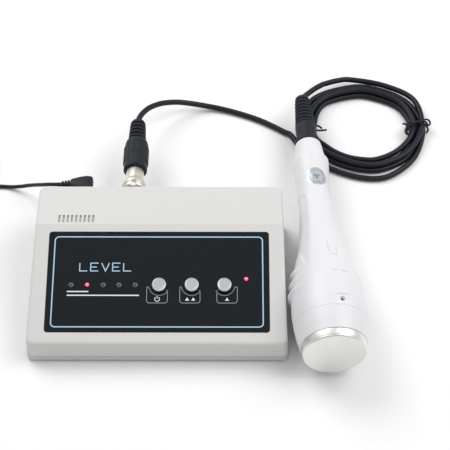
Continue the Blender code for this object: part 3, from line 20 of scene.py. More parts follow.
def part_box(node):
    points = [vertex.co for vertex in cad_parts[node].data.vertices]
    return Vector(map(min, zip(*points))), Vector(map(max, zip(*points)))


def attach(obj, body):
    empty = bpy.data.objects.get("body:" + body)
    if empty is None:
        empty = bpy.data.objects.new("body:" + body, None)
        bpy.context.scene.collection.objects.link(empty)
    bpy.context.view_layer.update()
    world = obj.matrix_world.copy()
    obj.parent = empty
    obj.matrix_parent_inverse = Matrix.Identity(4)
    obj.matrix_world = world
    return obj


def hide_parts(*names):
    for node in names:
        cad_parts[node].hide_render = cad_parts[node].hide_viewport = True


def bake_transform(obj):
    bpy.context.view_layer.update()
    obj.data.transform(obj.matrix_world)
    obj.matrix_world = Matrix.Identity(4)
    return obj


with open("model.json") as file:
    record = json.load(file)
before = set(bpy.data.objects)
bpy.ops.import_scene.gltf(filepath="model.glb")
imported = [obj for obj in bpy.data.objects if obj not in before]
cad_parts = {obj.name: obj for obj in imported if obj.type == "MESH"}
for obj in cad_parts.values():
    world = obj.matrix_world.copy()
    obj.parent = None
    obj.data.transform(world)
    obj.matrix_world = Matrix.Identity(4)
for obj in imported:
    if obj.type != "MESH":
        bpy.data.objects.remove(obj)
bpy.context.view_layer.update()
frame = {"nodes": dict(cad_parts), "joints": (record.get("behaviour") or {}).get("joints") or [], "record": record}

MM = 0.001
CONSOLE_BODY = "console"
HANDPIECE_BODY = "handpiece"
log = logging.getLogger("therapy_device")
OVERLAY_TOP = 5.3                   # from the crease to the overlay, in millimetres
HANDPIECE_ROLL = math.radians(15.5)
KEY_DEPTH = 39.7                    # from the crease to the middle of the buttons, in millimetres
LEVEL_DEPTH = 39.15
LEVEL_LIGHTS = (-51.6, -42.0, -32.5, -23.1, -13.5)  # middle of each light across the panel
LIT_LEVEL = 1
POWER_LIGHT = (52.4, 35.4)
CREASE_ANGLE = 40.0                 # edges that turn further stay crisp, in degrees
Colour = tuple[float, float, float]


# ---------------------------------------------------------------- places taken from the frame

def console_origin() -> Vector:
    """Middle of the console's rear edge on the table."""
    low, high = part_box("console_base")
    return Vector(((low.x + high.x) / 2, high.y, 0.0))


ORIGIN = console_origin()


def placed(points: object) -> np.ndarray:
    """Turn places in millimetres from the middle of the console's rear edge into metres in the frame.

    Args:
        points: One place or an array of places, each with three numbers.

    Returns:
        The same places as an array in metres.
    """
    return np.asarray(points, dtype=float) * MM + np.array(ORIGIN)


def slope_matrix() -> Matrix:
    """Find the front panel's axes from its buttons: X across, Y up the slope and Z out of it, from the crease.

    Returns:
        The matrix from the panel's own axes to the frame's.
    """
    button = next(j for j in frame["joints"] if j["name"] == "press_on_off")
    out = -Vector(button["axis"])
    across = Vector((1.0, 0.0, 0.0))
    up = out.cross(across).normalized()
    low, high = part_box("front_overlay")
    corners = np.array([tuple(v.co) for v in frame["nodes"]["front_overlay"].data.vertices])
    level = float((corners @ np.array(out)).max())
    rise = float((corners @ np.array(up)).max()) + OVERLAY_TOP * MM
    centre = (low.x + high.x) / 2
    axes = Matrix((across, up, out)).transposed().to_4x4()
    return Matrix.Translation(across * centre + up * rise + out * level) @ axes


def handpiece_matrix() -> Matrix:
    """Find the handpiece's axes from the centre of its face: Z towards the cable, Y out through the shell screw.

    Returns:
        The matrix from the handpiece's own axes to the frame's.
    """
    mount = next(m for m in frame["record"]["mounts"] if m["name"] == "treatment_face")
    tail = -Vector(mount["axis"]).normalized()
    upward = (Vector((0.0, 0.0, 1.0)) - tail * tail.z).normalized()
    out = upward * math.cos(HANDPIECE_ROLL) + tail.cross(upward) * math.sin(HANDPIECE_ROLL)
    axes = Matrix((out.cross(tail), out, tail)).transposed().to_4x4()
    return Matrix.Translation(Vector(mount["pos_m"])) @ axes


# ---------------------------------------------------------------- surfaces worked out on grids

def moved(points: np.ndarray, matrix: Matrix) -> np.ndarray:
    """Apply a matrix to an array of points.

    Args:
        points: Array whose last axis holds three coordinates in metres.
        matrix: The 4 by 4 matrix.

    Returns:
        The moved points in the same arrangement.
    """
    m = np.array(matrix)
    return points @ m[:3, :3].T + m[:3, 3]


def mesh_piece(name: str, points: np.ndarray, faces: list, material: bpy.types.Material, weld: float = 1e-7,
               sharp: float = CREASE_ANGLE) -> bpy.types.Object:
    """Make an object from points and faces, with doubles welded and faces pointing outwards.

    Args:
        name: The piece's name.
        points: Array of places, any arrangement, three coordinates last.
        faces: Lists of point numbers.
        material: The finish.
        weld: Points nearer than this become one.
        sharp: Edges that turn more than this many degrees stay crisp.

    Returns:
        The new object at the origin.
    """
    mesh = bpy.data.meshes.new(name)
    mesh.from_pydata(points.reshape(-1, 3).tolist(), [], faces)
    bm = bmesh.new()
    bm.from_mesh(mesh)
    bmesh.ops.remove_doubles(bm, verts=bm.verts, dist=weld)
    bmesh.ops.dissolve_degenerate(bm, edges=bm.edges, dist=weld)
    bmesh.ops.recalc_face_normals(bm, faces=bm.faces)
    bm.to_mesh(mesh)
    bm.free()
    mesh.shade_smooth()
    mesh.set_sharp_from_angle(angle=math.radians(sharp))
    mesh.materials.append(material)
    obj = bpy.data.objects.new(name, mesh)
    bpy.context.scene.collection.objects.link(obj)
    return obj


def grid_faces(rows: int, columns: int, around: bool, start: int = 0) -> list:
    """Faces between neighbouring points of a grid.

    Args:
        rows: Number of rows of points.
        columns: Number of points in a row.
        around: True when the last column joins the first.
        start: Number of the grid's first point.

    Returns:
        Four point numbers for each face.
    """
    r, c = np.meshgrid(np.arange(rows - 1), np.arange(columns if around else columns - 1), indexing="ij")
    n = (c + 1) % columns
    quads = np.stack([r * columns + c, r * columns + n, (r + 1) * columns + n, (r + 1) * columns + c], axis=-1)
    return (quads.reshape(-1, 4) + start).tolist()


def tube_faces(rows: int, columns: int) -> list:
    """Faces of a grid that closes on itself along its columns, with a flat cap on its first and last row."""
    last = (rows - 1) * columns
    return grid_faces(rows, columns, True) + [list(range(columns))[::-1], list(range(last, last + columns))]


def paired_faces(rows: int, columns: int) -> list:
    """Faces of a solid between two equal grids, one after the other: both grids and a wall round their rims.

    Args:
        rows: Rows of points in each grid.
        columns: Points in a row.

    Returns:
        The point numbers of each face.
    """
    count = rows * columns
    index = np.arange(count).reshape(rows, columns)
    rim = np.concatenate([index[0], index[1:, -1], index[-1, ::-1][1:], index[::-1, 0][1:]])
    wall = np.stack([rim[:-1], rim[1:], rim[1:] + count, rim[:-1] + count], axis=1)
    return grid_faces(rows, columns, False) + grid_faces(rows, columns, False, count) + wall.tolist()


def joined(parts: list) -> tuple:
    """Put several surfaces into one.

    Args:
        parts: Points and faces of each surface.

    Returns:
        All the points, and all the faces with their new point numbers.
    """
    points, faces, start = [], [], 0
    for places, corners in parts:
        points.append(places.reshape(-1, 3))
        faces.extend([[start + i for i in face] for face in corners])
        start += len(points[-1])
    return np.vstack(points), faces


def corner_places(obj: bpy.types.Object, matrix: Matrix) -> np.ndarray:
    """Find where an object's face corners lie on its own axes, for a UV map.

    Args:
        obj: The object.
        matrix: Where its own axes lie.

    Returns:
        One row for each face corner, in millimetres.
    """
    mesh = obj.data
    places = np.array([tuple(mesh.vertices[loop.vertex_index].co) for loop in mesh.loops])
    return moved(places, matrix.inverted()) / MM


def turned_surface(profile: np.ndarray, steps: int, matrix: Matrix, shape: Callable | None = None) -> np.ndarray:
    """Turn a profile about Z: the point at angle a and profile radius r is (r sin a, r cos a, height).

    Args:
        profile: Pairs of radius and height in millimetres.
        steps: Points in a full turn.
        matrix: Where the turned shape's own axes lie.
        shape: Changes the radius, given the radius, the angle in degrees from -180 to 180 and the height.

    Returns:
        Grid of points, one row for each profile point.
    """
    angle = np.linspace(-np.pi, np.pi, steps, endpoint=False)
    height = np.repeat(profile[:, 1:], steps, axis=1)
    radius = np.repeat(profile[:, :1], steps, axis=1)
    if shape:
        radius = shape(radius, np.degrees(np.broadcast_to(angle, radius.shape)), height)
    return moved(np.stack([radius * np.sin(angle), radius * np.cos(angle), height], axis=-1) * MM, matrix)


def turned_piece(name: str, profile: list, steps: int, matrix: Matrix, material: bpy.types.Material,
                 loop: bool = False, sharp: float = CREASE_ANGLE, shape: Callable | None = None) -> bpy.types.Object:
    """Make a lathe-turned solid: a profile that starts and ends on the axis, or a loop round it.

    Args:
        name: The piece's name.
        profile: Pairs of radius and height in millimetres.
        steps: Points in a full turn.
        matrix: Where the shape's own axes lie.
        material: The finish.
        loop: True when the profile's last point joins its first, for a ring.
        sharp: Edges that turn more than this many degrees stay crisp.
        shape: Changes the radius, given the radius, the angle and the height.

    Returns:
        The new object.
    """
    pairs = np.array(profile, dtype=float)
    if loop:
        pairs = np.vstack([pairs, pairs[:1]])
    points = turned_surface(pairs, steps, matrix, shape)
    return mesh_piece(name, points, grid_faces(len(pairs), steps, True), material, sharp=sharp)


def eased(profile: list, rounding: float, steps: int = 3) -> list:
    """Round the corners of a profile: each inner point becomes a short curve between points either side of it.

    Args:
        profile: Pairs of radius and height in millimetres.
        rounding: How far along each side a curve reaches, in millimetres.
        steps: Parts of each curve.

    Returns:
        The longer list of pairs.
    """
    pairs = np.array(profile, dtype=float)
    out = [pairs[0]]
    for before, here, after in zip(pairs[:-2], pairs[1:-1], pairs[2:]):
        back = before - here
        ahead = after - here
        reach_back = min(rounding, 0.45 * np.linalg.norm(back))
        reach_ahead = min(rounding, 0.45 * np.linalg.norm(ahead))
        first = here + back / np.linalg.norm(back) * reach_back
        last = here + ahead / np.linalg.norm(ahead) * reach_ahead
        t = np.linspace(0.0, 1.0, steps + 1)[:, None]
        out.extend((1 - t) ** 2 * first + 2 * t * (1 - t) * here + t ** 2 * last)
    out.append(pairs[-1])
    return [tuple(pair) for pair in out]


def smooth_line(nodes: np.ndarray, spacing: float) -> np.ndarray:
    """Points at an even spacing on the smooth curve through the nodes (Catmull-Rom, a cubic between each pair).

    Args:
        nodes: Places that the curve passes through.
        spacing: Distance between the new points, in the nodes' unit.

    Returns:
        The points, with both ends kept.
    """
    p = np.vstack([2 * nodes[0] - nodes[1], nodes, 2 * nodes[-1] - nodes[-2]])
    p0, p1, p2, p3 = p[:-3, None], p[1:-2, None], p[2:-1, None], p[3:, None]
    t = np.linspace(0.0, 1.0, 16, endpoint=False)[None, :, None]
    fine = 0.5 * (2 * p1 + (p2 - p0) * t + (2 * p0 - 5 * p1 + 4 * p2 - p3) * t ** 2
                  + (3 * p1 - p0 - 3 * p2 + p3) * t ** 3)
    fine = np.vstack([fine.reshape(-1, nodes.shape[1]), nodes[-1:]])
    reach = np.concatenate([[0.0], np.cumsum(np.linalg.norm(np.diff(fine, axis=0), axis=1))])
    marks = np.linspace(0.0, reach[-1], max(4, round(reach[-1] / spacing) + 1))
    return np.stack([np.interp(marks, reach, fine[:, i]) for i in range(fine.shape[1])], axis=1)


def line_length(path: np.ndarray) -> float:
    """Length of the line through the points."""
    return float(np.linalg.norm(np.diff(path, axis=0), axis=1).sum())


def swept_surface(path: np.ndarray, radii: np.ndarray, sides: int, reference: tuple) -> np.ndarray:
    """Carry a circle along a path: at each point it lies across the path's direction.

    Args:
        path: Centre line in metres.
        radii: Radius at each point of the path, or one radius.
        sides: Points round the circle.
        reference: A direction that the path never follows, from which the circle's own axes are found.

    Returns:
        Grid of points, one row for each point of the path.
    """
    along = np.gradient(path, axis=0)
    along /= np.linalg.norm(along, axis=1, keepdims=True)
    side = np.cross(along, np.array(reference, dtype=float))
    side /= np.linalg.norm(side, axis=1, keepdims=True)
    over = np.cross(side, along)
    angle = np.linspace(0.0, 2 * np.pi, sides, endpoint=False)[None, :, None]
    radius = np.broadcast_to(radii, (len(path),))[:, None, None]
    return path[:, None] + radius * (np.cos(angle) * side[:, None] + np.sin(angle) * over[:, None])


def swept_piece(name: str, path: np.ndarray, radius: float, material: bpy.types.Material, sides: int = 14,
                reference: tuple = (0.0, 0.0, 1.0)) -> bpy.types.Object:
    """Make a round cord or wire along a path.

    Args:
        name: The piece's name.
        path: Centre line in metres.
        radius: Radius in metres.
        material: The finish.
        sides: Points round it.
        reference: A direction that the path never follows.

    Returns:
        The new object.
    """
    points = swept_surface(path, radius, sides, reference)
    return mesh_piece(name, points, tube_faces(len(path), sides), material, sharp=60.0)


def bump_at(distance: np.ndarray, width: float) -> np.ndarray:
    """A smooth hump of height 1 that fades to nothing at a few widths from zero distance (a bell curve)."""
    return np.exp(-(distance / width) ** 2)


def step_at(value: np.ndarray, edge: float, softness: float) -> np.ndarray:
    """A smooth step from 0 below the edge to 1 above it (half of one plus a hyperbolic tangent)."""
    return 0.5 * (1.0 + np.tanh((value - edge) / softness))


def distance_to_line(x: np.ndarray, y: np.ndarray, line: np.ndarray) -> np.ndarray:
    """Shortest distance from each point to a line of straight stretches.

    Args:
        x: First coordinates of the points.
        y: Second coordinates.
        line: The line's corners as pairs.

    Returns:
        A distance for each point.
    """
    point = np.stack([x, y], axis=-1)[..., None, :]
    start = line[:-1]
    along = line[1:] - start
    share = np.clip(((point - start) * along).sum(-1) / (along ** 2).sum(-1), 0.0, 1.0)
    return np.linalg.norm(point - (start + share[..., None] * along), axis=-1).min(-1)


# ---------------------------------------------------------------- finishes

class NodeSheet:
    """A node tree with short calls for the nodes used here."""

    def __init__(self, tree: bpy.types.NodeTree) -> None:
        """Hold the tree."""
        self.tree = tree

    def add(self, kind: str, inputs: dict | None = None, **settings: object) -> bpy.types.Node:
        """Add a node.

        Args:
            kind: Blender's name for the node's type.
            inputs: Socket name or number to a value, or to another node's output to link.
            settings: Properties of the node.

        Returns:
            The node.
        """
        node = self.tree.nodes.new(kind)
        for key, value in settings.items():
            setattr(node, key, value)
        self.feed(node, inputs or {})
        return node

    def feed(self, node: bpy.types.Node, inputs: dict) -> None:
        """Set or link a node's inputs.

        Args:
            node: The node.
            inputs: Socket name or number to a value, or to another node's output to link.
        """
        for key, value in inputs.items():
            if isinstance(value, bpy.types.NodeSocket):
                self.tree.links.new(value, node.inputs[key])
            else:
                node.inputs[key].default_value = value

    def place(self) -> bpy.types.NodeSocket:
        """The point's own coordinates on its object."""
        return self.add("ShaderNodeTexCoord").outputs["Object"]

    def maths(self, operation: str, first: object, second: object = 0.0, third: object = 0.0) -> bpy.types.NodeSocket:
        """Output of a maths node on up to three values."""
        return self.add("ShaderNodeMath", {0: first, 1: second, 2: third}, operation=operation).outputs[0]

    def reach(self, x: object, y: object) -> bpy.types.NodeSocket:
        """Length of a pair of values: the square root of the sum of their squares."""
        squares = self.maths("ADD", self.maths("MULTIPLY", x, x), self.maths("MULTIPLY", y, y))
        return self.maths("SQRT", squares)

    def blend(self, share: object, first: object, second: object) -> bpy.types.NodeSocket:
        """Colour output of a mix between two colours."""
        return self.add("ShaderNodeMix", {0: share, 6: first, 7: second}, data_type="RGBA").outputs[2]

    def noise(self, scale: object, detail: float, vector: object, rough: float = 0.5) -> bpy.types.NodeSocket:
        """Grey output of a noise texture."""
        inputs = {"Scale": scale, "Detail": detail, "Roughness": rough, "Vector": vector}
        return self.add("ShaderNodeTexNoise", inputs).outputs[0]

    def between(self, value: object, low: float, high: float) -> bpy.types.NodeSocket:
        """A value's place between two others, held between 0 and 1."""
        return self.add("ShaderNodeMapRange", {0: value, 1: low, 2: high}, clamp=True).outputs[0]


def rgba(colour: Colour, shade: float = 1.0) -> tuple:
    """A colour with full alpha, darkened or lightened."""
    return (colour[0] * shade, colour[1] * shade, colour[2] * shade, 1.0)


def new_material(name: str) -> tuple:
    """Start a material.

    Args:
        name: The material's name.

    Returns:
        The material, the sheet of its nodes and its shader.
    """
    material = bpy.data.materials.new(name)
    material.use_nodes = True
    return material, NodeSheet(material.node_tree), material.node_tree.nodes["Principled BSDF"]


def new_group(name: str, inputs: list, outputs: list) -> tuple:
    """Start a shader node group.

    Args:
        name: The group's name.
        inputs: Name, socket type and starting value of each input.
        outputs: Name and socket type of each output.

    Returns:
        The sheet, the group's input node and its output node.
    """
    tree = bpy.data.node_groups.new(name, "ShaderNodeTree")
    for label, kind, value in inputs:
        socket = tree.interface.new_socket(name=label, in_out="INPUT", socket_type=kind)
        socket.default_value = value
    for label, kind in outputs:
        tree.interface.new_socket(name=label, in_out="OUTPUT", socket_type=kind)
    sheet = NodeSheet(tree)
    return sheet, sheet.add("NodeGroupInput"), sheet.add("NodeGroupOutput")


def build_moulded_grain() -> bpy.types.NodeTree:
    """Make the group for the fine texture of a moulded surface: height, an uneven sheen and slow shading.

    Returns:
        The group's tree.
    """
    sheet, start, end = new_group(
        "moulded_grain",
        [("Fine", "NodeSocketFloat", 2500.0), ("Broad", "NodeSocketFloat", 60.0)],
        [("Height", "NodeSocketFloat"), ("Sheen", "NodeSocketFloat"), ("Shade", "NodeSocketFloat")])
    place = sheet.place()
    fine = sheet.noise(start.outputs["Fine"], 3.0, place)
    cells = sheet.add("ShaderNodeTexVoronoi", {"Vector": place, "Scale": start.outputs["Fine"]}).outputs["Distance"]
    broad = sheet.noise(start.outputs["Broad"], 4.0, place, 0.6)
    sheet.feed(end, {"Height": sheet.maths("MULTIPLY_ADD", cells, 0.4, fine),
                     "Sheen": sheet.maths("SUBTRACT", fine, 0.5), "Shade": sheet.maths("SUBTRACT", broad, 0.5)})
    return sheet.tree


def build_handling_wear() -> bpy.types.NodeTree:
    """Make the group for light handling marks: sparse fine scratches and faint smudges, as two masks from 0 to 1.

    Returns:
        The group's tree.
    """
    sheet, start, end = new_group(
        "handling_wear",
        [("Scratch Scale", "NodeSocketFloat", 120.0), ("Smudge Scale", "NodeSocketFloat", 35.0)],
        [("Scratches", "NodeSocketFloat"), ("Smudges", "NodeSocketFloat")])
    place = sheet.place()
    stretched = sheet.add("ShaderNodeMapping", {"Vector": place, "Rotation": (0.3, 0.5, 0.7), "Scale": (1.0, 9.0, 1.0)})
    lines = sheet.noise(start.outputs["Scratch Scale"], 5.0, stretched.outputs[0], 0.7)
    smudge = sheet.noise(start.outputs["Smudge Scale"], 3.0, place, 0.6)
    sheet.feed(end, {"Scratches": sheet.between(lines, 0.66, 0.74), "Smudges": sheet.between(smudge, 0.45, 0.75)})
    return sheet.tree


MOULDED_GRAIN = build_moulded_grain()
HANDLING_WEAR = build_handling_wear()


@dataclass(frozen=True)
class Moulded:
    """A moulded plastic, rubber, metal or ceramic surface with its own grain, sheen and slow unevenness.

    The colour darkens and lightens with broad noise, the roughness changes with fine noise and smudges, and the
    height comes from fine noise and cells. Depth is in metres.
    """

    name: str
    colour: Colour
    roughness: float = 0.45
    metallic: float = 0.0
    fine: float = 2500.0
    broad: float = 60.0
    depth: float = 0.00001
    shade: float = 0.10
    sheen: float = 0.15
    scratches: float = 0.0
    specular: float = 0.5

    def build(self) -> bpy.types.Material:
        """Make the material.

        Returns:
            The material.
        """
        material, sheet, shader = new_material(self.name)
        grain = sheet.add("ShaderNodeGroup", node_tree=MOULDED_GRAIN)
        sheet.feed(grain, {"Fine": self.fine, "Broad": self.broad})
        wear = sheet.add("ShaderNodeGroup", node_tree=HANDLING_WEAR)
        factor = sheet.maths("MULTIPLY_ADD", grain.outputs["Shade"], self.shade, 0.5)
        colour = sheet.blend(factor, rgba(self.colour, 0.9), rgba(self.colour, 1.1))
        if self.scratches:
            marks = sheet.maths("MULTIPLY", wear.outputs["Scratches"], self.scratches)
            colour = sheet.blend(marks, colour, rgba(self.colour, 1.6))
        rough = sheet.maths("MULTIPLY_ADD", grain.outputs["Sheen"], self.sheen, self.roughness)
        rough = sheet.maths("MULTIPLY_ADD", wear.outputs["Smudges"], 0.3 * self.sheen, rough)
        bump = sheet.add("ShaderNodeBump", {"Height": grain.outputs["Height"], "Distance": self.depth, "Strength": 1.0})
        sheet.feed(shader, {"Base Color": colour, "Roughness": rough, "Normal": bump.outputs[0],
                            "Metallic": self.metallic, "Specular IOR Level": self.specular})
        return material


class Turning(Enum):
    """Which way tool marks run on a turned metal piece."""

    ROUND_FACE = 0
    ALONG_BARREL = 1


@dataclass(frozen=True)
class TurnedMetal:
    """A lathe-turned metal: rings of fine grooves about an axis, with a soft unevenness of tone.

    The groove height is a sine of the distance from the axis on a face, or of the distance along it on a barrel.
    """

    name: str
    colour: Colour
    matrix: Matrix
    turning: Turning
    roughness: float = 0.3
    pitch: float = 0.00035
    depth: float = 0.000004
    clouding: float = 0.05

    def build(self) -> bpy.types.Material:
        """Make the material.

        Returns:
            The material.
        """
        material, sheet, shader = new_material(self.name)
        place = sheet.place()
        inverse = self.matrix.inverted()
        turn = inverse.to_euler("XYZ")
        own = sheet.add("ShaderNodeMapping", {"Vector": place, "Location": inverse.translation, "Rotation": turn})
        x, y, z = sheet.add("ShaderNodeSeparateXYZ", {"Vector": own.outputs[0]}).outputs
        reach = sheet.reach(x, y) if self.turning is Turning.ROUND_FACE else z
        rings = sheet.maths("SINE", sheet.maths("MULTIPLY", reach, 2 * math.pi / self.pitch))
        cloud = sheet.noise(180.0, 4.0, place, 0.65)
        speck = sheet.noise(2600.0, 2.0, place)
        colour = sheet.blend(sheet.between(cloud, 0.3, 0.7), rgba(self.colour, 1 - self.clouding), rgba(self.colour))
        rough = sheet.maths("MULTIPLY_ADD", speck, 0.12, self.roughness - 0.06)
        bump = sheet.add("ShaderNodeBump", {"Height": rings, "Distance": self.depth, "Strength": 0.6})
        sheet.feed(shader, {"Base Color": colour, "Roughness": rough, "Normal": bump.outputs[0], "Metallic": 1.0})
        return material


@dataclass(frozen=True)
class Lens:
    """The moulded lens of a small light: lit ones glow most at the middle of the dome."""

    name: str
    colour: Colour
    glow: Colour | None = None
    core: Colour = (1.0, 0.35, 0.45)

    def build(self) -> bpy.types.Material:
        """Make the material.

        Returns:
            The material.
        """
        material, sheet, shader = new_material(self.name)
        cloud = sheet.noise(900.0, 3.0, sheet.place())
        colour = sheet.blend(cloud, rgba(self.colour, 0.8), rgba(self.colour, 1.2))
        sheet.feed(shader, {"Base Color": colour, "Roughness": 0.12, "Coat Weight": 0.6})
        if self.glow:
            across = sheet.add("ShaderNodeUVMap").outputs[0]
            parts = sheet.add("ShaderNodeSeparateXYZ", {"Vector": across})
            share = sheet.between(parts.outputs[0], 0.25, 0.95)
            hot = sheet.blend(share, rgba(self.glow, 0.7), rgba(self.core))
            sheet.feed(shader, {"Emission Color": hot, "Emission Strength": 1.0})
        return material


@dataclass(frozen=True)
class Hologram:
    """A foil disc: rings of short dashes and a small star in the middle, on a foil whose tint changes across it.

    The disc's own UV map runs from -1 to 1 across it. The tint is a noise lookup on a ramp of pale colours.
    """

    name: str
    tints: tuple = ((0.30, (0.24, 0.34, 0.42)), (0.70, (0.36, 0.50, 0.54)), (0.42, (0.48, 0.61, 0.65)),
                    (0.50, (0.58, 0.57, 0.68)), (0.58, (0.60, 0.54, 0.50)))
    ink: Colour = (0.10, 0.13, 0.17)
    dashes: float = 16.0
    points: float = 3.0

    def build(self) -> bpy.types.Material:
        """Make the material.

        Returns:
            The material.
        """
        material, sheet, shader = new_material(self.name)
        spot = sheet.add("ShaderNodeUVMap").outputs[0]
        parts = sheet.add("ShaderNodeSeparateXYZ", {"Vector": spot})
        u, v = parts.outputs[0], parts.outputs[1]
        reach = sheet.reach(u, v)
        angle = sheet.maths("ARCTAN2", v, u)
        tint = sheet.noise(2.2, 3.0, spot, 0.6)
        ramp = sheet.add("ShaderNodeValToRGB", {"Fac": tint})
        stops = list(ramp.color_ramp.elements)
        for (position, colour), stop in zip(self.tints[:2], stops):
            stop.position, stop.color = position, rgba(colour)
        for position, colour in self.tints[2:]:
            ramp.color_ramp.elements.new(position).color = rgba(colour)
        dashes = sheet.between(sheet.maths("SINE", sheet.maths("MULTIPLY", angle, self.dashes)), -0.2, 0.3)
        ring = sheet.maths("MULTIPLY", sheet.between(reach, 0.58, 0.62), sheet.between(reach, 0.84, 0.80))
        star = sheet.maths("SINE", sheet.maths("MULTIPLY", angle, self.points))
        star = sheet.maths("MULTIPLY_ADD", star, 0.10, 0.26)
        star = sheet.between(sheet.maths("SUBTRACT", star, reach), -0.02, 0.03)
        speckle = sheet.between(sheet.noise(9.0, 2.0, spot), 0.52, 0.60)
        dark = sheet.maths("MAXIMUM", sheet.maths("MULTIPLY", ring, dashes), star)
        dark = sheet.maths("MAXIMUM", dark, sheet.maths("MULTIPLY", speckle, 0.35))
        colour = sheet.blend(sheet.maths("MULTIPLY", dark, 0.55), ramp.outputs[0], rgba(self.ink))
        sheet.feed(shader, {"Base Color": colour, "Roughness": sheet.maths("MULTIPLY_ADD", tint, 0.3, 0.15),
                            "Metallic": 0.35})
        return material


@dataclass(frozen=True)
class CircuitBoard:
    """A green board with lighter copper tracks: bands of a stretched brick pattern, over a fine weave."""

    name: str
    colour: Colour
    tracks: Colour = (0.10, 0.36, 0.14)

    def build(self) -> bpy.types.Material:
        """Make the material.

        Returns:
            The material.
        """
        material, sheet, shader = new_material(self.name)
        place = sheet.place()
        black = (0, 0, 0, 1)
        bricks = sheet.add("ShaderNodeTexBrick", {"Vector": place, "Scale": 160.0, "Mortar Size": 0.03,
                                                  "Color1": black, "Color2": black, "Mortar": (1, 1, 1, 1)})
        weave = sheet.noise(1800.0, 2.0, place)
        base = sheet.blend(weave, rgba(self.colour, 0.85), rgba(self.colour, 1.15))
        colour = sheet.blend(sheet.maths("MULTIPLY", bricks.outputs[0], 0.6), base, rgba(self.tracks))
        sheet.feed(shader, {"Base Color": colour, "Roughness": 0.35})
        return material


# ---------------------------------------------------------------- the finishes in use

SLOPE = slope_matrix()
GRIP = handpiece_matrix()


def axis_to_rear(x: float, z: float) -> Matrix:
    """Axes for a turned piece whose own Z points to the rear and whose angle is counted from straight up."""
    axes = Matrix(((-1.0, 0.0, 0.0), (0.0, 0.0, 1.0), (0.0, 1.0, 0.0))).transposed().to_4x4()
    return Matrix.Translation(Vector(placed((x, 0.0, z)))) @ axes


OUTPUT_AXIS = axis_to_rear(-18.0, 24.0)
SUPPLY_AXIS = axis_to_rear(-51.0, 26.0)

FINISHES = {
    "case": Moulded("case_plastic_fine", (0.64, 0.635, 0.62), 0.52, fine=1600.0, broad=25.0, depth=0.000035,
                    shade=0.05),
    "base": Moulded("base_plastic_fine", (0.56, 0.555, 0.54), 0.55, fine=1600.0, broad=25.0, depth=0.000035),
    "grip": Moulded("handpiece_plastic_fine", (0.745, 0.745, 0.77), 0.42, fine=2200.0, broad=30.0, depth=0.000006,
                    shade=0.05),
    "overlay": Moulded("overlay_film", (0.0025, 0.0048, 0.008), 0.13, fine=1200.0, broad=40.0, depth=0.000003,
                       shade=0.3, sheen=0.06, specular=0.36),
    "print_blue": Moulded("print_pale_blue", (0.42, 0.62, 0.78), 0.35, fine=3000.0, depth=0.000004),
    "print_white": Moulded("print_white", (0.80, 0.80, 0.80), 0.35, fine=3000.0, depth=0.000004),
    "print_grey": Moulded("print_grey", (0.34, 0.36, 0.38), 0.35, fine=3000.0, depth=0.000004),
    "cap": Moulded("button_silver", (0.66, 0.66, 0.67), 0.26, 0.7, fine=2600.0, broad=300.0, depth=0.000003,
                   shade=0.06),
    # The button side finish is painted shade: near-black for the black panel's reflection and the shadow under the cap.
    "cap_side_painted_shade": Moulded("button_side_painted_shade", (0.09, 0.09, 0.10), 0.18, 0.8, fine=2600.0, depth=0.000003),
    "lit": Lens("lens_lit", (0.8, 0.12, 0.2), (1.0, 0.06, 0.16)),
    "unlit": Lens("lens_unlit", (0.028, 0.040, 0.012)),
    "bezel": Moulded("light_bezel", (0.50, 0.53, 0.45), 0.3, fine=2500.0),
    # Lit copy of the bezel: painted red glow from the lit lens, not the ring's own colour.
    "bezel_painted_glow": Moulded("light_bezel_painted_red_glow", (0.42, 0.05, 0.08), 0.3, fine=2500.0),
    "nickel": TurnedMetal("nickel_turned", (0.72, 0.69, 0.63), OUTPUT_AXIS, Turning.ALONG_BARREL, 0.40),
    "sleeve_nickel": TurnedMetal("sleeve_nickel_turned", (0.80, 0.77, 0.69), OUTPUT_AXIS, Turning.ALONG_BARREL, 0.44),
    "supply_nickel": TurnedMetal("supply_nickel_turned", (0.74, 0.72, 0.69), SUPPLY_AXIS, Turning.ALONG_BARREL, 0.26),
    "face": TurnedMetal("treatment_aluminium", (0.84, 0.84, 0.81), GRIP, Turning.ROUND_FACE, 0.38),
    "heatsink": Moulded("dark_aluminium_fine", (0.10, 0.10, 0.11), 0.4, 0.8, fine=1800.0),
    "steel": Moulded("screw_steel_fine", (0.55, 0.54, 0.52), 0.32, 1.0, fine=1500.0, broad=200.0, depth=0.000005,
                     shade=0.3, scratches=0.4),
    "cord": Moulded("cord_jacket", (0.007, 0.009, 0.015), 0.42, fine=1500.0, broad=90.0, depth=0.00001, shade=0.4,
                    specular=0.3),
    "plug": Moulded("plug_plastic", (0.009, 0.012, 0.018), 0.5, fine=2400.0, broad=80.0, depth=0.00002, shade=0.3,
                    specular=0.28),
    "rubber": Moulded("boot_rubber", (0.012, 0.015, 0.023), 0.52, fine=2200.0, broad=70.0, depth=0.00002, shade=0.3,
                      specular=0.28),
    "foot": Moulded("foot_rubber_fine", (0.025, 0.025, 0.026), 0.7, fine=1500.0, depth=0.00004),
    "board": CircuitBoard("board_green_tracks", (0.02, 0.16, 0.06)),
    "ferrite": Moulded("ferrite_core", (0.07, 0.065, 0.06), 0.6, fine=1200.0, depth=0.00003),
    "sleeve": Moulded("capacitor_sleeve_fine", (0.03, 0.06, 0.22), 0.35),
    "ribbon": Moulded("ribbon_grey_fine", (0.35, 0.36, 0.38), 0.5),
    "ceramic": Moulded("piezo_ceramic_fine", (0.72, 0.66, 0.52), 0.5, fine=1500.0),
    "hologram": Hologram("foil_disc"),
    "mark": Moulded("plug_mark", (0.004, 0.005, 0.007), 0.45, fine=2500.0),
    "table": Moulded("table_top", (0.90, 0.90, 0.90), 0.6, fine=700.0, broad=4.0, depth=0.000004, shade=0.02,
                     sheen=0.05),
}
MATERIALS = {key: finish.build() for key, finish in FINISHES.items()}

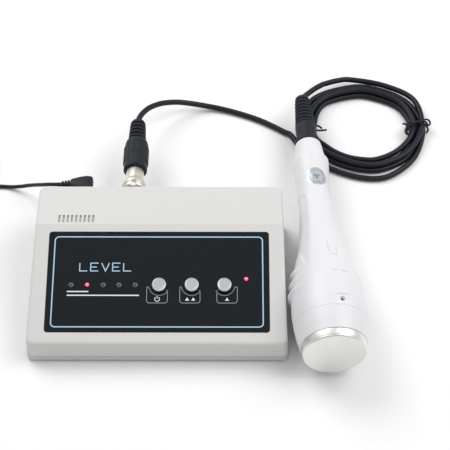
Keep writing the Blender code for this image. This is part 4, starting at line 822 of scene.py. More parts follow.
KEPT_NODES = {
    "console_top_cover": "case", "console_base": "base", "rear_panel": "case", "front_overlay": "overlay",
    "on_off_switch": "plug", "fast_up_switch": "plug", "slow_up_switch": "plug", "control_board": "board",
    "main_board": "board", "transformer": "ferrite", "heatsink": "heatsink", "power_transistor": "plug",
    "filter_capacitor": "sleeve", "ribbon_cable": "ribbon", "foot_front_left": "foot", "foot_front_right": "foot",
    "foot_rear_left": "foot", "foot_rear_right": "foot", "case_screw_front_left": "steel",
    "case_screw_front_right": "steel", "case_screw_rear_left": "steel", "case_screw_rear_right": "steel",
    # The shell screw takes the black plug plastic instead of steel: painted shade that darkens its hole.
    "shell_screw": "plug", "output_socket": "nickel", "output_socket_nut": "nickel", "supply_socket": "plug",
    "supply_socket_nut": "supply_nickel", "supply_plug_barrel": "supply_nickel", "power_adapter": "plug",
    "adapter_blade_left": "steel", "adapter_blade_right": "steel", "piezo_disc": "ceramic", "head_seal": "rubber",
    "matching_board": "board", "matching_inductor": "ferrite",
}


def dress_kept_nodes() -> None:
    """Give each part that is carried over from the frame a procedural finish; the steel shell screw gets black plastic
    as painted shade in its hole.
    """
    for node, finish in KEPT_NODES.items():
        slots = frame["nodes"][node].data.materials
        slots.clear()
        slots.append(MATERIALS[finish])
        log.info("%s carried over in %s", node, finish)


# ---------------------------------------------------------------- console front

class Key(Enum):
    """The three push buttons, by the middle of each across the panel in millimetres."""

    ON_OFF = 0.73
    FAST_UP = 20.07
    SLOW_UP = 39.42


def arc_line(centre: tuple, radius: float, start: float, end: float, steps: int = 10) -> list:
    """Points on an arc from one angle to another in degrees, anticlockwise when the end is larger."""
    angle = np.radians(np.linspace(start, end, steps))
    return [(centre[0] + radius * math.cos(a), centre[1] + radius * math.sin(a)) for a in angle]


def rounded_box(left: float, right: float, low: float, high: float, corner: float) -> list:
    """Outline of a rectangle with quarter-circle corners, anticlockwise from its right side.

    Args:
        left: Least distance across.
        right: Greatest distance across.
        low: Least distance along.
        high: Greatest distance along.
        corner: Radius of the corners.

    Returns:
        Pairs of distance across and distance along.
    """
    x0, x1, y0, y1 = left + corner, right - corner, low + corner, high - corner
    return (arc_line((x1, y1), corner, 0, 90, 6) + arc_line((x0, y1), corner, 90, 180, 6)
            + arc_line((x0, y0), corner, 180, 270, 6) + arc_line((x1, y0), corner, 270, 360, 6))


@dataclass
class PrintedPanel:
    """Raised print on the glossy panel: a border, words, bars, frames round the buttons and symbols.

    Each stroke is a ribbon: a flat-topped strip carried along a line, with mitred corners. Distances are in
    millimetres across the panel and down from the crease.
    """

    height: float = 0.06
    sunk: float = 0.03
    border_sides: tuple = (-62.45, 62.25, 8.5, 65.3)
    border_width: float = 0.72
    border_corner: float = 2.4
    word_sides: tuple = (-46.9, -14.2, 25.4, 30.4)
    word_stroke: float = 0.62
    bars: tuple = (((-53.85, 43.4), (-41.1, 43.4)), ((-53.8, 45.75), (-11.05, 45.75)))
    bar_width: float = 0.74
    frame_top: float = 40.3
    frame_bottom: float = 50.5
    frame_corner: float = 1.6
    frame_hollow: float = 6.1
    frame_stroke: float = 0.34
    low_ear: float = 42.6
    ear_radius: float = 0.45
    symbol_depth: float = 48.0
    triangles: tuple = (17.4, 21.0, 41.0)
    triangle_size: float = 1.25
    power_across: float = -0.3
    power_stroke: float = 0.42

    def ribbon(self, line: list, width: float, closed: bool = False) -> tuple:
        """Carry a flat strip along a line.

        The strip's two sides lie half a width either side of the line, measured along the bisector of the line's
        directions before and after each point and stretched so the width stays even round corners.

        Args:
            line: Pairs of distance across and distance down.
            width: Width of the strip.
            closed: True when the line's end joins its start.

        Returns:
            Points and faces.
        """
        p = np.array(line, dtype=float)
        ahead = np.roll(p, -1, axis=0) - p
        ahead /= np.linalg.norm(ahead, axis=1, keepdims=True)
        behind = np.roll(ahead, 1, axis=0)
        if not closed:
            ahead[-1] = behind[-1]
            behind[0] = ahead[0]
        normal = np.stack([-(ahead + behind)[:, 1], (ahead + behind)[:, 0]], axis=1)
        normal /= np.linalg.norm(normal, axis=1, keepdims=True)
        across = np.stack([-ahead[:, 1], ahead[:, 0]], axis=1)
        reach = 0.5 * width / np.clip((normal * across).sum(1, keepdims=True), 0.4, 1.0)
        left, right = p + normal * reach, p - normal * reach
        low, high = np.full((len(p), 1), -self.sunk), np.full((len(p), 1), self.height)
        ring = np.stack([np.hstack([left, low]), np.hstack([left, high]), np.hstack([right, high]),
                         np.hstack([right, low])], axis=1)
        ring[..., 1] *= -1
        rows = len(p)
        if closed:
            points = np.concatenate([ring, ring[:1]])
            return moved(points * MM, SLOPE), grid_faces(rows + 1, 4, True)
        return moved(ring * MM, SLOPE), tube_faces(rows, 4)

    def plate(self, outline: list) -> tuple:
        """A filled flat shape from its outline.

        Args:
            outline: Pairs of distance across and distance down.

        Returns:
            Points and faces.
        """
        p = np.array(outline, dtype=float) * (1.0, -1.0)
        low = np.hstack([p, np.full((len(p), 1), -self.sunk)])
        high = np.hstack([p, np.full((len(p), 1), self.height)])
        return moved(np.stack([low, high]) * MM, SLOPE), tube_faces(2, len(p))

    def piece(self, name: str, parts: list, finish: str) -> None:
        """Join several strips into one object.

        Args:
            name: The object's name.
            parts: Points and faces of each strip.
            finish: Key of the finish.
        """
        obj = mesh_piece(name, *joined(parts), MATERIALS[finish], weld=1e-8, sharp=30.0)
        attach(obj, CONSOLE_BODY)
        log.info("%s: %d strips", name, len(parts))

    def border(self) -> list:
        """The rounded rectangle round the panel."""
        return [self.ribbon(rounded_box(*self.border_sides, self.border_corner), self.border_width, True)]

    def word(self) -> list:
        """Spread the word LEVEL over its width in thin straight strokes.

        Returns:
            Points and faces of each stroke.
        """
        left, right, top, bottom = self.word_sides
        pitch = (right - left) / 5
        wide = 0.70 * pitch
        middle = (top + bottom) / 2
        strokes = []
        for i, letter in enumerate("LEVEL"):
            x = left + i * pitch
            if letter == "L":
                strokes.append([(x, top), (x, bottom), (x + wide, bottom)])
            elif letter == "V":
                strokes.append([(x, top), (x + wide / 2, bottom), (x + wide, top)])
            else:
                strokes.append([(x + wide, top), (x, top), (x, bottom), (x + wide, bottom)])
                strokes.append([(x, middle), (x + 0.8 * wide, middle)])
        return [self.ribbon(stroke, self.word_stroke) for stroke in strokes]

    def button_frame(self, key: Key, left: float, right: float, ear_left: bool) -> tuple:
        """A thin line below a button: rounded at the bottom, hollowed round the button, one ear taller.

        Args:
            key: The button.
            left: The frame's left side.
            right: Its right side.
            ear_left: True when the taller ear is on the left.

        Returns:
            Points and faces.
        """
        bottom, corner, ear = self.frame_bottom, self.frame_corner, self.ear_radius
        ears = (self.frame_top, self.low_ear)
        ear_l, ear_r = ears if ear_left else ears[::-1]
        start = math.degrees(math.asin(min(1.0, (ear_r + 0.5 - KEY_DEPTH) / self.frame_hollow)))
        end = 180 - math.degrees(math.asin(min(1.0, (ear_l + 0.5 - KEY_DEPTH) / self.frame_hollow)))
        line = (arc_line((right - ear, ear_r + ear), ear, 0, -110, 5)
                + arc_line((key.value, KEY_DEPTH), self.frame_hollow, start, end, 14)
                + arc_line((left + ear, ear_l + ear), ear, 290, 180, 5)
                + arc_line((left + corner, bottom - corner), corner, 180, 90, 5)
                + arc_line((right - corner, bottom - corner), corner, 90, 0, 5))
        return self.ribbon(line, self.frame_stroke, True)

    def power_symbol(self, x: float, depth: float) -> list:
        """Draw an open ring with an upright bar in its gap.

        Args:
            x: Distance of its middle across the panel.
            depth: Distance of its middle down from the crease.

        Returns:
            Points and faces of each stroke.
        """
        ring = arc_line((x, depth), 1.45, -50, 230, 18)
        bar = [(x, depth - 1.9), (x, depth - 0.2)]
        return [self.ribbon(line, self.power_stroke) for line in (ring, bar)]

    def triangle(self, x: float, depth: float, size: float) -> tuple:
        """A filled triangle that points up the slope."""
        return self.plate([(x - size, depth + 0.8 * size), (x, depth - 0.8 * size), (x + size, depth + 0.8 * size)])

    def build(self) -> None:
        """Make every printed shape."""
        self.piece("print_border", self.border(), "print_blue")
        self.piece("print_word", self.word(), "print_blue")
        self.piece("print_bars", [self.ribbon(bar, self.bar_width) for bar in self.bars], "print_white")
        frames = [self.button_frame(Key.ON_OFF, -6.55, 5.75, True), self.button_frame(Key.FAST_UP, 13.05, 25.05, True),
                  self.button_frame(Key.SLOW_UP, 34.95, 47.05, False)]
        self.piece("print_button_frames", frames, "print_grey")
        symbols = self.power_symbol(self.power_across, self.symbol_depth)
        symbols += [self.triangle(x, self.symbol_depth, self.triangle_size) for x in self.triangles]
        self.piece("print_symbols", symbols, "print_white")


@dataclass
class PushButton:
    """A round silver push button: a bright, slightly dished top with a narrow chamfer, over a side ring painted
    near-black as painted shade and painted reflection of the black panel.
    """

    key: Key
    node: str
    body: str
    radius: float = 4.3
    top_radius: float = 3.6
    rise: float = 2.9
    foot: float = -0.5
    dish: float = 0.12
    waist: float = 0.3
    rounding: float = 0.12

    def build(self) -> None:
        """Make the cap in place of the plain one, and the ring round its side, painted near-black as painted shade and
        painted reflection.
        """
        r, top, high, neck = self.radius, self.top_radius, self.rise, self.radius - self.waist
        profile = [(0, high - self.dish), (top - 0.5, high - 0.10), (top, high), (top + 0.2, high),
                   (r - 0.12, high - 0.4), (r, high - 0.6), (r, high - 0.9), (neck, high - 1.0), (neck, self.foot),
                   (0, self.foot)]
        matrix = SLOPE @ Matrix.Translation(Vector((self.key.value, -KEY_DEPTH, 0.0)) * MM)
        cap = turned_piece(self.node + "_cap", eased(profile, self.rounding), 64, matrix, MATERIALS["cap"],
                           sharp=35.0)
        # The side ring is painted near-black: painted shade and painted reflection of the black panel.
        inner, outer, low, upper = neck - 0.02, r - 0.04, self.foot + 0.05, high - 0.96
        side = turned_piece(self.node + "_side", [(inner, low), (outer, low), (outer, upper), (inner, upper)], 64,
                            matrix, MATERIALS["cap_side_painted_shade"], loop=True, sharp=35.0)
        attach(cap, self.body)
        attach(side, self.body)
        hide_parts(self.node)
        log.info("%s at %.2f", cap.name, self.key.value)


class LightState(Enum):
    """Whether a light is on."""

    LIT = "lit"
    UNLIT = "unlit"


@dataclass
class IndicatorLight:
    """A small lens in a thin raised ring: its dome is a quarter of an ellipse turned about its middle."""

    node: str
    across: float
    depth: float
    state: LightState
    radius: float = 1.15
    dome: float = 0.45
    base: float = 0.35
    foot: float = -0.4
    lip: float = 0.26

    def build(self) -> None:
        """Make the lens and its ring in place of the plain dome; a lit light's ring is painted red as painted glow from
        its lens.
        """
        r = self.radius
        matrix = SLOPE @ Matrix.Translation(Vector((self.across, -self.depth, 0.0)) * MM)
        angle = np.radians(np.linspace(90, 0, 9))
        dome = [(r * math.cos(a), self.base + self.dome * r * math.sin(a)) for a in angle]
        lens = turned_piece(self.node + "_lens", dome + [(r, self.foot), (0, self.foot)], 32, matrix,
                            MATERIALS[self.state.value])
        own = corner_places(lens, matrix)
        share = 1.0 - np.clip(np.hypot(own[:, 0], own[:, 1]) / r, 0.0, 1.0)
        lens.data.uv_layers.new(name="across").data.foreach_set("uv", np.stack([share, share], axis=1).ravel())
        rim = [(r, -0.3), (r + self.lip, -0.3), (r + self.lip - 0.04, 0.14), (r + 0.14, 0.26), (r, 0.14)]
        # A lit light's ring takes the painted red glow finish.
        finish = "bezel_painted_glow" if self.state is LightState.LIT else "bezel"
        ring = turned_piece(self.node + "_ring", rim, 32, matrix, MATERIALS[finish], loop=True)
        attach(lens, CONSOLE_BODY)
        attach(ring, CONSOLE_BODY)
        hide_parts(self.node)
        log.info("%s is %s", self.node, self.state.value)


@dataclass
class VentInsert:
    """A plate under the deck with a tooth in each vent slot, so the slots are shallow.

    Each tooth is a grid whose top is gently crowned: its height falls with the fourth power of the distance from its
    middle, as a share of its half width and half length.
    """

    count: int = 9
    pitch: float = 2.57
    first: float = -60.9
    middle: float = -26.4
    half_width: float = 0.56
    half_length: float = 2.7
    top: float = 37.2
    foot: float = 35.0
    crown: float = 0.12

    def tooth(self, x: float) -> tuple:
        """Make one tooth.

        Args:
            x: Its middle across the console.

        Returns:
            Points and faces.
        """
        across, along = np.meshgrid(np.linspace(-1, 1, 5), np.linspace(-1, 1, 9))
        high = self.top - self.crown * (across ** 4 + along ** 4)
        layers = [np.stack([x + across * self.half_width, self.middle + along * self.half_length, z], axis=-1)
                  for z in (high, np.full_like(high, self.foot))]
        return placed(np.stack(layers)), paired_faces(*across.shape)

    def build(self) -> None:
        """Make the teeth as one piece."""
        teeth = [self.tooth(self.first + i * self.pitch) for i in range(self.count)]
        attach(mesh_piece("vent_insert", *joined(teeth), MATERIALS["base"]), CONSOLE_BODY)
        log.info("vent insert with %d teeth", self.count)


# ---------------------------------------------------------------- plugs at the console's rear

@dataclass
class OutputPlug:
    """The output plug: a bright bayonet sleeve, a black moulded body with grips, and a ribbed strain relief."""

    body_start: float = 24.3
    body_end: float = 50.5
    body_radius: float = 7.55
    panel_height: float = 7.15
    grip_sides: tuple = (30.0, 43.2)
    grip_height: float = 0.65
    rib_pitch: float = 3.2
    ribs: int = 5
    rib_radius: float = 5.75
    groove_radius: float = 4.1
    hole_radius: float = 1.95
    notches: int = 5
    notch_depth: float = 1.3
    sleeve: tuple = (
        (4.75, 7.3), (6.9, 7.3), (7.3, 7.6), (7.5, 8.1), (7.5, 9.0), (7.2, 9.3), (7.1, 9.5), (7.1, 10.1), (7.25, 10.4),
        (7.55, 10.7), (7.6, 11.4), (7.5, 12.2), (7.3, 13.0), (7.0, 14.0), (6.7, 14.9), (6.5, 15.4), (6.2, 15.6),
        (5.9, 15.7), (5.75, 15.9), (5.7, 16.4), (5.7, 23.3), (5.5, 23.7), (4.75, 23.7))
    arrows: tuple = (((-1.5, 37.4), (-2.7, 36.5), (-1.5, 35.6)), ((1.5, 37.4), (2.7, 36.5), (1.5, 35.6)),
                     ((-2.3, 36.5), (-0.6, 36.5)), ((0.6, 36.5), (2.3, 36.5)), ((-0.8, 46.0), (0.8, 46.0)))
    arrow_stroke: float = 0.44

    def sleeve_notches(self, radius: np.ndarray, angle: np.ndarray, height: np.ndarray) -> np.ndarray:
        """Cut short notches in the flared ring: the radius drops inside each notch's angle and height.

        Args:
            radius: Plain radius of each point.
            angle: Its angle in degrees.
            height: Its distance along the axis.

        Returns:
            The new radius.
        """
        pitch = 360.0 / self.notches
        away = np.abs((angle + pitch / 2) % pitch - pitch / 2)
        notch = (1 - step_at(away, 12.0, 1.2)) * (1 - step_at(height, 10.9, 0.3)) * (radius > 6.2)
        return radius - self.notch_depth * notch

    def body_shape(self, radius: np.ndarray, angle: np.ndarray, height: np.ndarray) -> np.ndarray:
        """Flatten a panel along the top, raise two grip pads at the sides and cut a notch in the front edge.

        Args:
            radius: Plain radius of each point.
            angle: Its angle from straight up in degrees.
            height: Its distance along the axis.

        Returns:
            The new radius.
        """
        along = step_at(height, 26.5, 0.5) * (1 - step_at(height, 46.5, 0.5))
        flat = np.minimum(radius, self.panel_height / np.maximum(np.cos(np.radians(angle)), 0.3))
        radius = np.where(np.abs(angle) < 24.0, radius + (flat - radius) * along, radius)
        side = np.exp(-((np.abs(angle) - 90.0) / 30.0) ** 6)
        near, far = self.grip_sides
        radius = radius + self.grip_height * side * step_at(height, near, 0.15) * (1 - step_at(height, far, 0.15))
        notch = (1 - step_at(np.abs(angle), 9.0, 1.0)) * (1 - step_at(height, 26.0, 0.3))
        return radius - 1.1 * notch * (radius > 5.0)

    def profile(self) -> list:
        """List the body's and the relief's profile, from the axis in front to the axis behind.

        Returns:
            Pairs of radius and height.
        """
        r, first, last, groove = self.body_radius, self.body_start, self.body_end, self.groove_radius
        line = [(5.0, first - 0.3), (r - 0.35, first), (r, first + 0.5)]
        line += [(r, y) for y in np.arange(first + 1.0, last - 4.0, 0.4)]
        line += [(r - 0.1, last - 3.6), (r - 0.5, last - 2.0), (r - 1.3, last - 0.8), (5.7, last)]
        for i in range(self.ribs - 1):
            start = last + i * self.rib_pitch
            outer = self.rib_radius - 0.16 * i
            line += [(groove, start + 0.15), (groove, start + 0.75), (outer - 0.5, start + 0.85), (outer, start + 1.3),
                     (outer, start + 2.5), (outer - 0.5, start + 2.95)]
        start = last + (self.ribs - 1) * self.rib_pitch
        line += [(groove, start + 0.15), (groove, start + 0.75), (4.7, start + 0.85), (5.1, start + 1.4),
                 (4.9, start + 2.6), (4.3, start + 3.9), (3.2, start + 4.7), (self.hole_radius, start + 4.9)]
        return line

    def marks(self) -> list:
        """Make a raised double arrow and a small bar on the body's top panel.

        Returns:
            The pieces.
        """
        made = []
        matrix = OUTPUT_AXIS @ Matrix.Translation(Vector((0.0, self.panel_height, 0.0)) * MM)
        for i, line in enumerate(self.arrows):
            path = np.array([(x, 0.05, z) for x, z in line]) * MM
            path = np.concatenate([np.linspace(a, b, 5)[:-1] for a, b in zip(path[:-1], path[1:])] + [path[-1:]])
            made.append(swept_piece(f"output_plug_mark_{i + 1}", moved(path, matrix), self.arrow_stroke / 2 * MM,
                                    MATERIALS["mark"], 8))
        return made

    def build(self) -> list:
        """Make the plug.

        Returns:
            The pieces that stay on the cord.
        """
        loop = self.profile() + [(self.hole_radius, self.body_start - 0.3)]
        body = turned_piece("output_plug_moulding", loop, 96, OUTPUT_AXIS, MATERIALS["plug"], loop=True, sharp=50.0,
                            shape=self.body_shape)
        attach(body, CONSOLE_BODY)
        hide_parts("output_plug")
        sleeve = turned_piece("coupling_sleeve_turned", self.sleeve, 96, OUTPUT_AXIS, MATERIALS["sleeve_nickel"],
                              loop=True, sharp=30.0, shape=self.sleeve_notches)
        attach(sleeve, "coupling_sleeve")
        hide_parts("output_plug_sleeve")
        marks = self.marks()
        for mark in marks:
            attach(mark, CONSOLE_BODY)
        log.info("output plug with %d ribs", self.ribs)
        return [body, sleeve] + marks


@dataclass
class SupplyPlug:
    """The right-angled supply plug: a flat moulded wedge that narrows to a ribbed strain relief.

    Each section across it is a superellipse, |y / w| ** n + |z / h| ** n = 1. Its half width w, half height h, power n
    and middle change smoothly along the wedge.
    """

    stations: tuple = (-44.1, -44.15, -44.4, -45.0, -46.2, -48.4, -51.6, -55.2, -57.4, -58.2)
    half_heights: tuple = (0.02, 2.4, 3.3, 3.95, 4.25, 4.4, 4.2, 3.85, 3.6, 3.2)
    half_widths: tuple = (0.02, 4.9, 6.0, 6.7, 6.95, 6.9, 6.2, 4.9, 4.1, 3.4)
    relief_start: float = -58.2
    relief_end: float = -64.0
    end: float = -66.5
    ribs: int = 3
    powers: tuple = (3.2, 2.0)
    front: tuple = (-45.75, 10.2, 25.6)
    back: tuple = (-66.75, 11.5, 26.0)
    sides: int = 40

    def sections(self) -> np.ndarray:
        """List the sections, with the strain relief's ribs added at the narrow end.

        Returns:
            Rows of station, half height and half width.
        """
        rows = list(zip(self.stations, self.half_heights, self.half_widths))
        pitch = (self.relief_end - self.relief_start) / self.ribs
        for i in range(self.ribs):
            x = self.relief_start + i * pitch
            size = 3.0 - 0.35 * i
            rows += [(x + 0.04 * pitch, size - 0.9, size - 0.8), (x + 0.26 * pitch, size - 0.9, size - 0.8),
                     (x + 0.32 * pitch, size - 0.2, size), (x + 0.45 * pitch, size, size + 0.15),
                     (x + 0.90 * pitch, size - 0.1, size), (x + 0.97 * pitch, size - 0.4, size - 0.3)]
        rows += [(self.relief_end, 1.4, 1.4), (self.end, 1.3, 1.3)]
        return np.array(rows)

    def build(self) -> bpy.types.Object:
        """Make the plug.

        Returns:
            The piece, which stays on the cord.
        """
        rows = self.sections()
        x, high, wide = rows[:, :1], rows[:, 1:2], rows[:, 2:3]
        share = np.clip((x - self.front[0]) / (self.back[0] - self.front[0]), 0.0, 1.0)
        power = self.powers[0] + (self.powers[1] - self.powers[0]) * share
        angle = np.linspace(0.0, 2 * np.pi, self.sides, endpoint=False)[None]
        across = np.sign(np.cos(angle)) * np.abs(np.cos(angle)) ** (2 / power)
        up = np.sign(np.sin(angle)) * np.abs(np.sin(angle)) ** (2 / power)
        y = self.front[1] + (self.back[1] - self.front[1]) * share + wide * across
        z = self.front[2] + (self.back[2] - self.front[2]) * share + high * up
        points = placed(np.stack([np.broadcast_to(x, y.shape), y, z], axis=-1))
        plug = mesh_piece("supply_plug_moulding", points, tube_faces(len(rows), self.sides), MATERIALS["plug"],
                          sharp=50.0)
        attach(plug, CONSOLE_BODY)
        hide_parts("supply_plug")
        log.info("supply plug with %d ribs", self.ribs)
        return plug


# ---------------------------------------------------------------- handpiece

class Half(Enum):
    """The two halves of the handle, by the angle of each one's middle from the screw side in degrees."""

    UPPER = 0.0
    LOWER = 180.0


@dataclass
class Handpiece:
    """The treatment handpiece: aluminium head, white collar, two waisted handle halves and a black ribbed boot.

    Outer surface: at distance s from the face and angle a from the screw side, the radius is a smooth profile of s
    plus the features in relief().
    """

    profile: list = field(default_factory=lambda: [
        (19.9, 21.9), (24, 22.25), (29, 22.46), (37, 22.15), (45, 21.4), (53, 20.0), (61, 18.5), (69, 16.8), (77, 15.2),
        (85, 13.8), (93, 12.8), (101, 12.05), (109, 11.45), (116, 11.2), (118.5, 11.1), (119.8, 10.6), (126, 10.4),
        (133, 10.7), (141, 11.3), (149, 11.9), (151, 11.6), (152.6, 10.5), (155, 9.95), (160, 9.3), (164, 8.85),
        (166.4, 8.4), (167.1, 7.8)])
    wall: float = 2.4
    parting: float = 0.07
    ridges: tuple = (40.6, 47.8, 55.6)
    ridge_height: float = 2.3
    side: float = 107.0
    thumb_mark: tuple = ((2.75, 71.4), (2.75, 62.2), (2.3, 60.4), (1.2, 59.4), (0.1, 59.2), (-1.1, 59.5), (-2.0, 60.5),
                         (-2.4, 62.0), (-2.42, 67.0))
    arc_mark: tuple = ((4.4, 46.0), (2.0, 45.4), (-1.0, 45.2), (-4.0, 45.5), (-6.3, 46.2))
    groove: float = 0.36
    screw_at: float = 24.2
    boot_ribs: int = 7

    def relief(self, angle: np.ndarray, s: np.ndarray, radius: np.ndarray) -> np.ndarray:
        """Height of the handle's features above its plain profile, in millimetres.

        Side ridges are humps shaped like a parabola of s, faded by the distance from the side's middle. The side
        scoop is a constant depth inside slanted smooth edges. Grooves are bell curves of the distance to a line.

        Args:
            angle: Angle from the screw side in degrees, from -180 to 180.
            s: Distance from the face.
            radius: Plain radius there.

        Returns:
            The height to add to the radius.
        """
        turn = np.abs(angle)
        beside = np.exp(-((turn - self.side) / 30.0) ** 4)
        ridge = np.zeros_like(s)
        for middle in self.ridges:
            ridge = np.maximum(ridge, bump_at(s - middle, 1.9))
        height = self.ridge_height * beside * (ridge - 0.15 * bump_at(s - 48.0, 11.0))
        front = 57.0 + (turn - 56.0) * 9.0 / 16.0
        rear = 113.0 + (turn - 51.0) * 11.0 / 29.0
        past = np.where(turn > self.side, 0.0, 1.0)
        front = np.where(past > 0, front, 57.0 + (self.side - 56.0) * 9.0 / 16.0 - (turn - self.side) * 0.3)
        rear = np.where(past > 0, rear, 113.0 + (self.side - 51.0) * 11.0 / 29.0 - (turn - self.side) * 0.3)
        front = np.minimum(front, 68.0)
        rear = np.minimum(rear, 117.0)
        scoop = step_at(s, front, 0.8) * (1 - step_at(s, rear, 0.6)) * step_at(turn, 54.0, 5.0)
        scoop = scoop * (1 - step_at(turn, 160.0, 5.0))
        height = height - 0.55 * scoop
        across = np.radians(angle) * radius
        for depth, line in ((0.8, self.thumb_mark), (0.7, self.arc_mark)):
            height = height - depth * bump_at(distance_to_line(across, s, np.array(line)), self.groove)
        tip = np.hypot(across / 4.6, np.maximum(s - 41.0, 0) / 4.6)
        height = height + 0.25 * step_at(s, 27.5, 0.25) * (1 - step_at(tip, 1.0, 0.06))
        dish = 1.0 - np.hypot(across / 5.5, (s - self.screw_at) / 3.1)
        height = height - 0.45 * step_at(dish, 0.0, 0.06)
        hole = np.hypot(across, s - self.screw_at)
        return height - 1.9 * (1 - step_at(hole, 1.35, 0.10))

    def plain_radius(self, s: np.ndarray) -> np.ndarray:
        """Find the handle's radius without its features.

        Args:
            s: Distance from the face.

        Returns:
            The radius at each distance.
        """
        line = smooth_line(np.array(self.profile, dtype=float), 0.2)
        return np.interp(s, line[:, 0], line[:, 1])

    def shell(self, half: Half, name: str, node: str) -> None:
        """Make one half of the handle: an outer grid and an inner grid joined round their edges.

        Args:
            half: Which half.
            name: The piece's name.
            node: The plain piece it replaces.
        """
        if half is Half.UPPER:
            fine = np.arange(-22.0, 22.01, 0.7)
            angle = np.concatenate([np.arange(-90.0, -22.0, 2.0), fine, np.arange(24.0, 90.1, 2.0)])
            s = np.concatenate([np.arange(19.9, 76.0, 0.35), np.arange(76.0, 167.1, 0.7), [167.1]])
        else:
            angle = np.arange(90.0, 270.1, 2.5)
            s = np.concatenate([np.arange(19.9, 70.0, 0.6), np.arange(70.0, 167.1, 0.9), [167.1]])
        turn, along = np.meshgrid(angle, s)
        signed = (turn + 180.0) % 360.0 - 180.0
        plain = self.plain_radius(along)
        drop = self.parting if half is Half.UPPER else -self.parting
        layers = []
        for radius in (plain + self.relief(signed, along, plain), plain - self.wall):
            side, up = radius * np.sin(np.radians(turn)), radius * np.cos(np.radians(turn))
            edge = bump_at(np.cos(np.radians(turn)), 0.02)
            layers.append(np.stack([side, up + drop * np.where(edge > 0.5, 1.0, 0.0), along], axis=-1))
        points = moved(np.stack(layers) * MM, GRIP)
        obj = mesh_piece(name, points, paired_faces(*along.shape), MATERIALS["grip"], sharp=50.0)
        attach(obj, HANDPIECE_BODY)
        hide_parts(node)
        log.info("%s: %d by %d grid", name, *along.shape)

    def sticker(self, middle: float = 130.0, turn: float = 6.0, radius: float = 7.2) -> None:
        """Lay a round foil disc on the handle: rings of points at even radii, each dropped onto the surface.

        Args:
            middle: Distance of its middle from the face.
            turn: Its angle from the screw side in degrees.
            radius: Its radius.
        """
        rings, steps = 12, 48
        reach, around = np.meshgrid(np.linspace(0.0, 1.0, rings), np.linspace(0, 2 * np.pi, steps, endpoint=False),
                                    indexing="ij")
        u, v = reach * np.cos(around), reach * np.sin(around)
        s = middle + radius * v
        plain = self.plain_radius(s)
        angle = math.radians(turn) + radius * u / plain
        layers = []
        for lift in (0.10, -0.15):
            r = plain + np.where(reach > 0.97, min(lift, 0.04), lift)
            layers.append(np.stack([r * np.sin(angle), r * np.cos(angle), s], axis=-1))
        points = moved(np.concatenate([layers[0], layers[1][::-1]]) * MM, GRIP)
        faces = grid_faces(2 * rings, steps, True)
        obj = mesh_piece("foil_sticker", points, faces, MATERIALS["hologram"], weld=2e-6)
        own = corner_places(obj, GRIP)
        off = (np.arctan2(own[:, 0], own[:, 1]) - math.radians(turn)) * np.hypot(own[:, 0], own[:, 1])
        disc = np.stack([off / radius, (own[:, 2] - middle) / radius], axis=1)
        obj.data.uv_layers.new(name="disc").data.foreach_set("uv", disc.ravel())
        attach(obj, HANDPIECE_BODY)
        log.info("foil sticker on the handle")

    def head(self) -> None:
        """The aluminium cup with its flat treatment face, and the white collar behind it."""
        cup = eased([(0, 0), (18.0, 0), (18.55, 0.55), (18.66, 1.0), (18.4, 1.2), (18.75, 1.45), (19.35, 4.6),
                     (19.35, 5.1), (17.0, 5.1), (17.0, 14.5), (15.6, 14.5), (15.6, 2.2), (0, 2.2)], 0.15)
        head = turned_piece("treatment_head", cup, 128, GRIP, MATERIALS["face"], sharp=25.0)
        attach(head, HANDPIECE_BODY)
        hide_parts("head_cup")
        line = smooth_line(np.array([(5.3, 19.3), (5.6, 19.66), (9.0, 20.3), (13.0, 21.06), (17.0, 21.58),
                                     (18.6, 21.77), (19.8, 21.87)]), 0.5)
        ring = [(r, s) for s, r in line] + [(19.4, 19.8), (17.4, 19.8), (17.4, 5.3)]
        collar = turned_piece("nose_collar_moulding", ring, 128, GRIP, MATERIALS["grip"], loop=True, sharp=40.0)
        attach(collar, HANDPIECE_BODY)
        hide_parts("nose_collar")
        log.info("head and collar")

    def boot(self) -> None:
        """The black boot: a flange, a plain waist, seven rounded ribs and a tapered tip with a hole for the cable."""
        line = [(2.0, 160.0), (6.5, 160.0), (6.5, 167.2), (8.0, 167.3), (8.3, 167.7), (8.3, 169.6), (8.0, 170.0),
                (7.1, 170.3), (6.85, 171.0), (6.8, 174.0), (6.85, 178.0), (7.0, 183.4), (6.9, 184.4)]
        for i in range(self.boot_ribs):
            start = 184.6 + 3.3 * i
            outer = 6.7 - 0.24 * i
            line += [(outer - 1.25, start), (outer - 1.25, start + 0.55), (outer - 0.45, start + 0.75),
                     (outer, start + 1.3), (outer, start + 2.1), (outer - 0.45, start + 2.8)]
        line += [(4.0, 207.7), (4.0, 208.1), (4.8, 208.5), (4.9, 209.6), (4.5, 211.0), (3.6, 211.8), (2.0, 212.0)]
        boot = turned_piece("handpiece_boot_moulding", line, 64, GRIP, MATERIALS["rubber"], loop=True, sharp=50.0)
        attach(boot, HANDPIECE_BODY)
        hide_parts("handpiece_boot")
        log.info("boot with %d ribs", self.boot_ribs)

    def build(self) -> None:
        """Make every piece of the handpiece."""
        self.head()
        self.shell(Half.UPPER, "handle_upper", "handpiece_upper_shell")
        self.shell(Half.LOWER, "handle_lower", "handpiece_lower_shell")
        self.sticker()
        self.boot()


# ---------------------------------------------------------------- cords

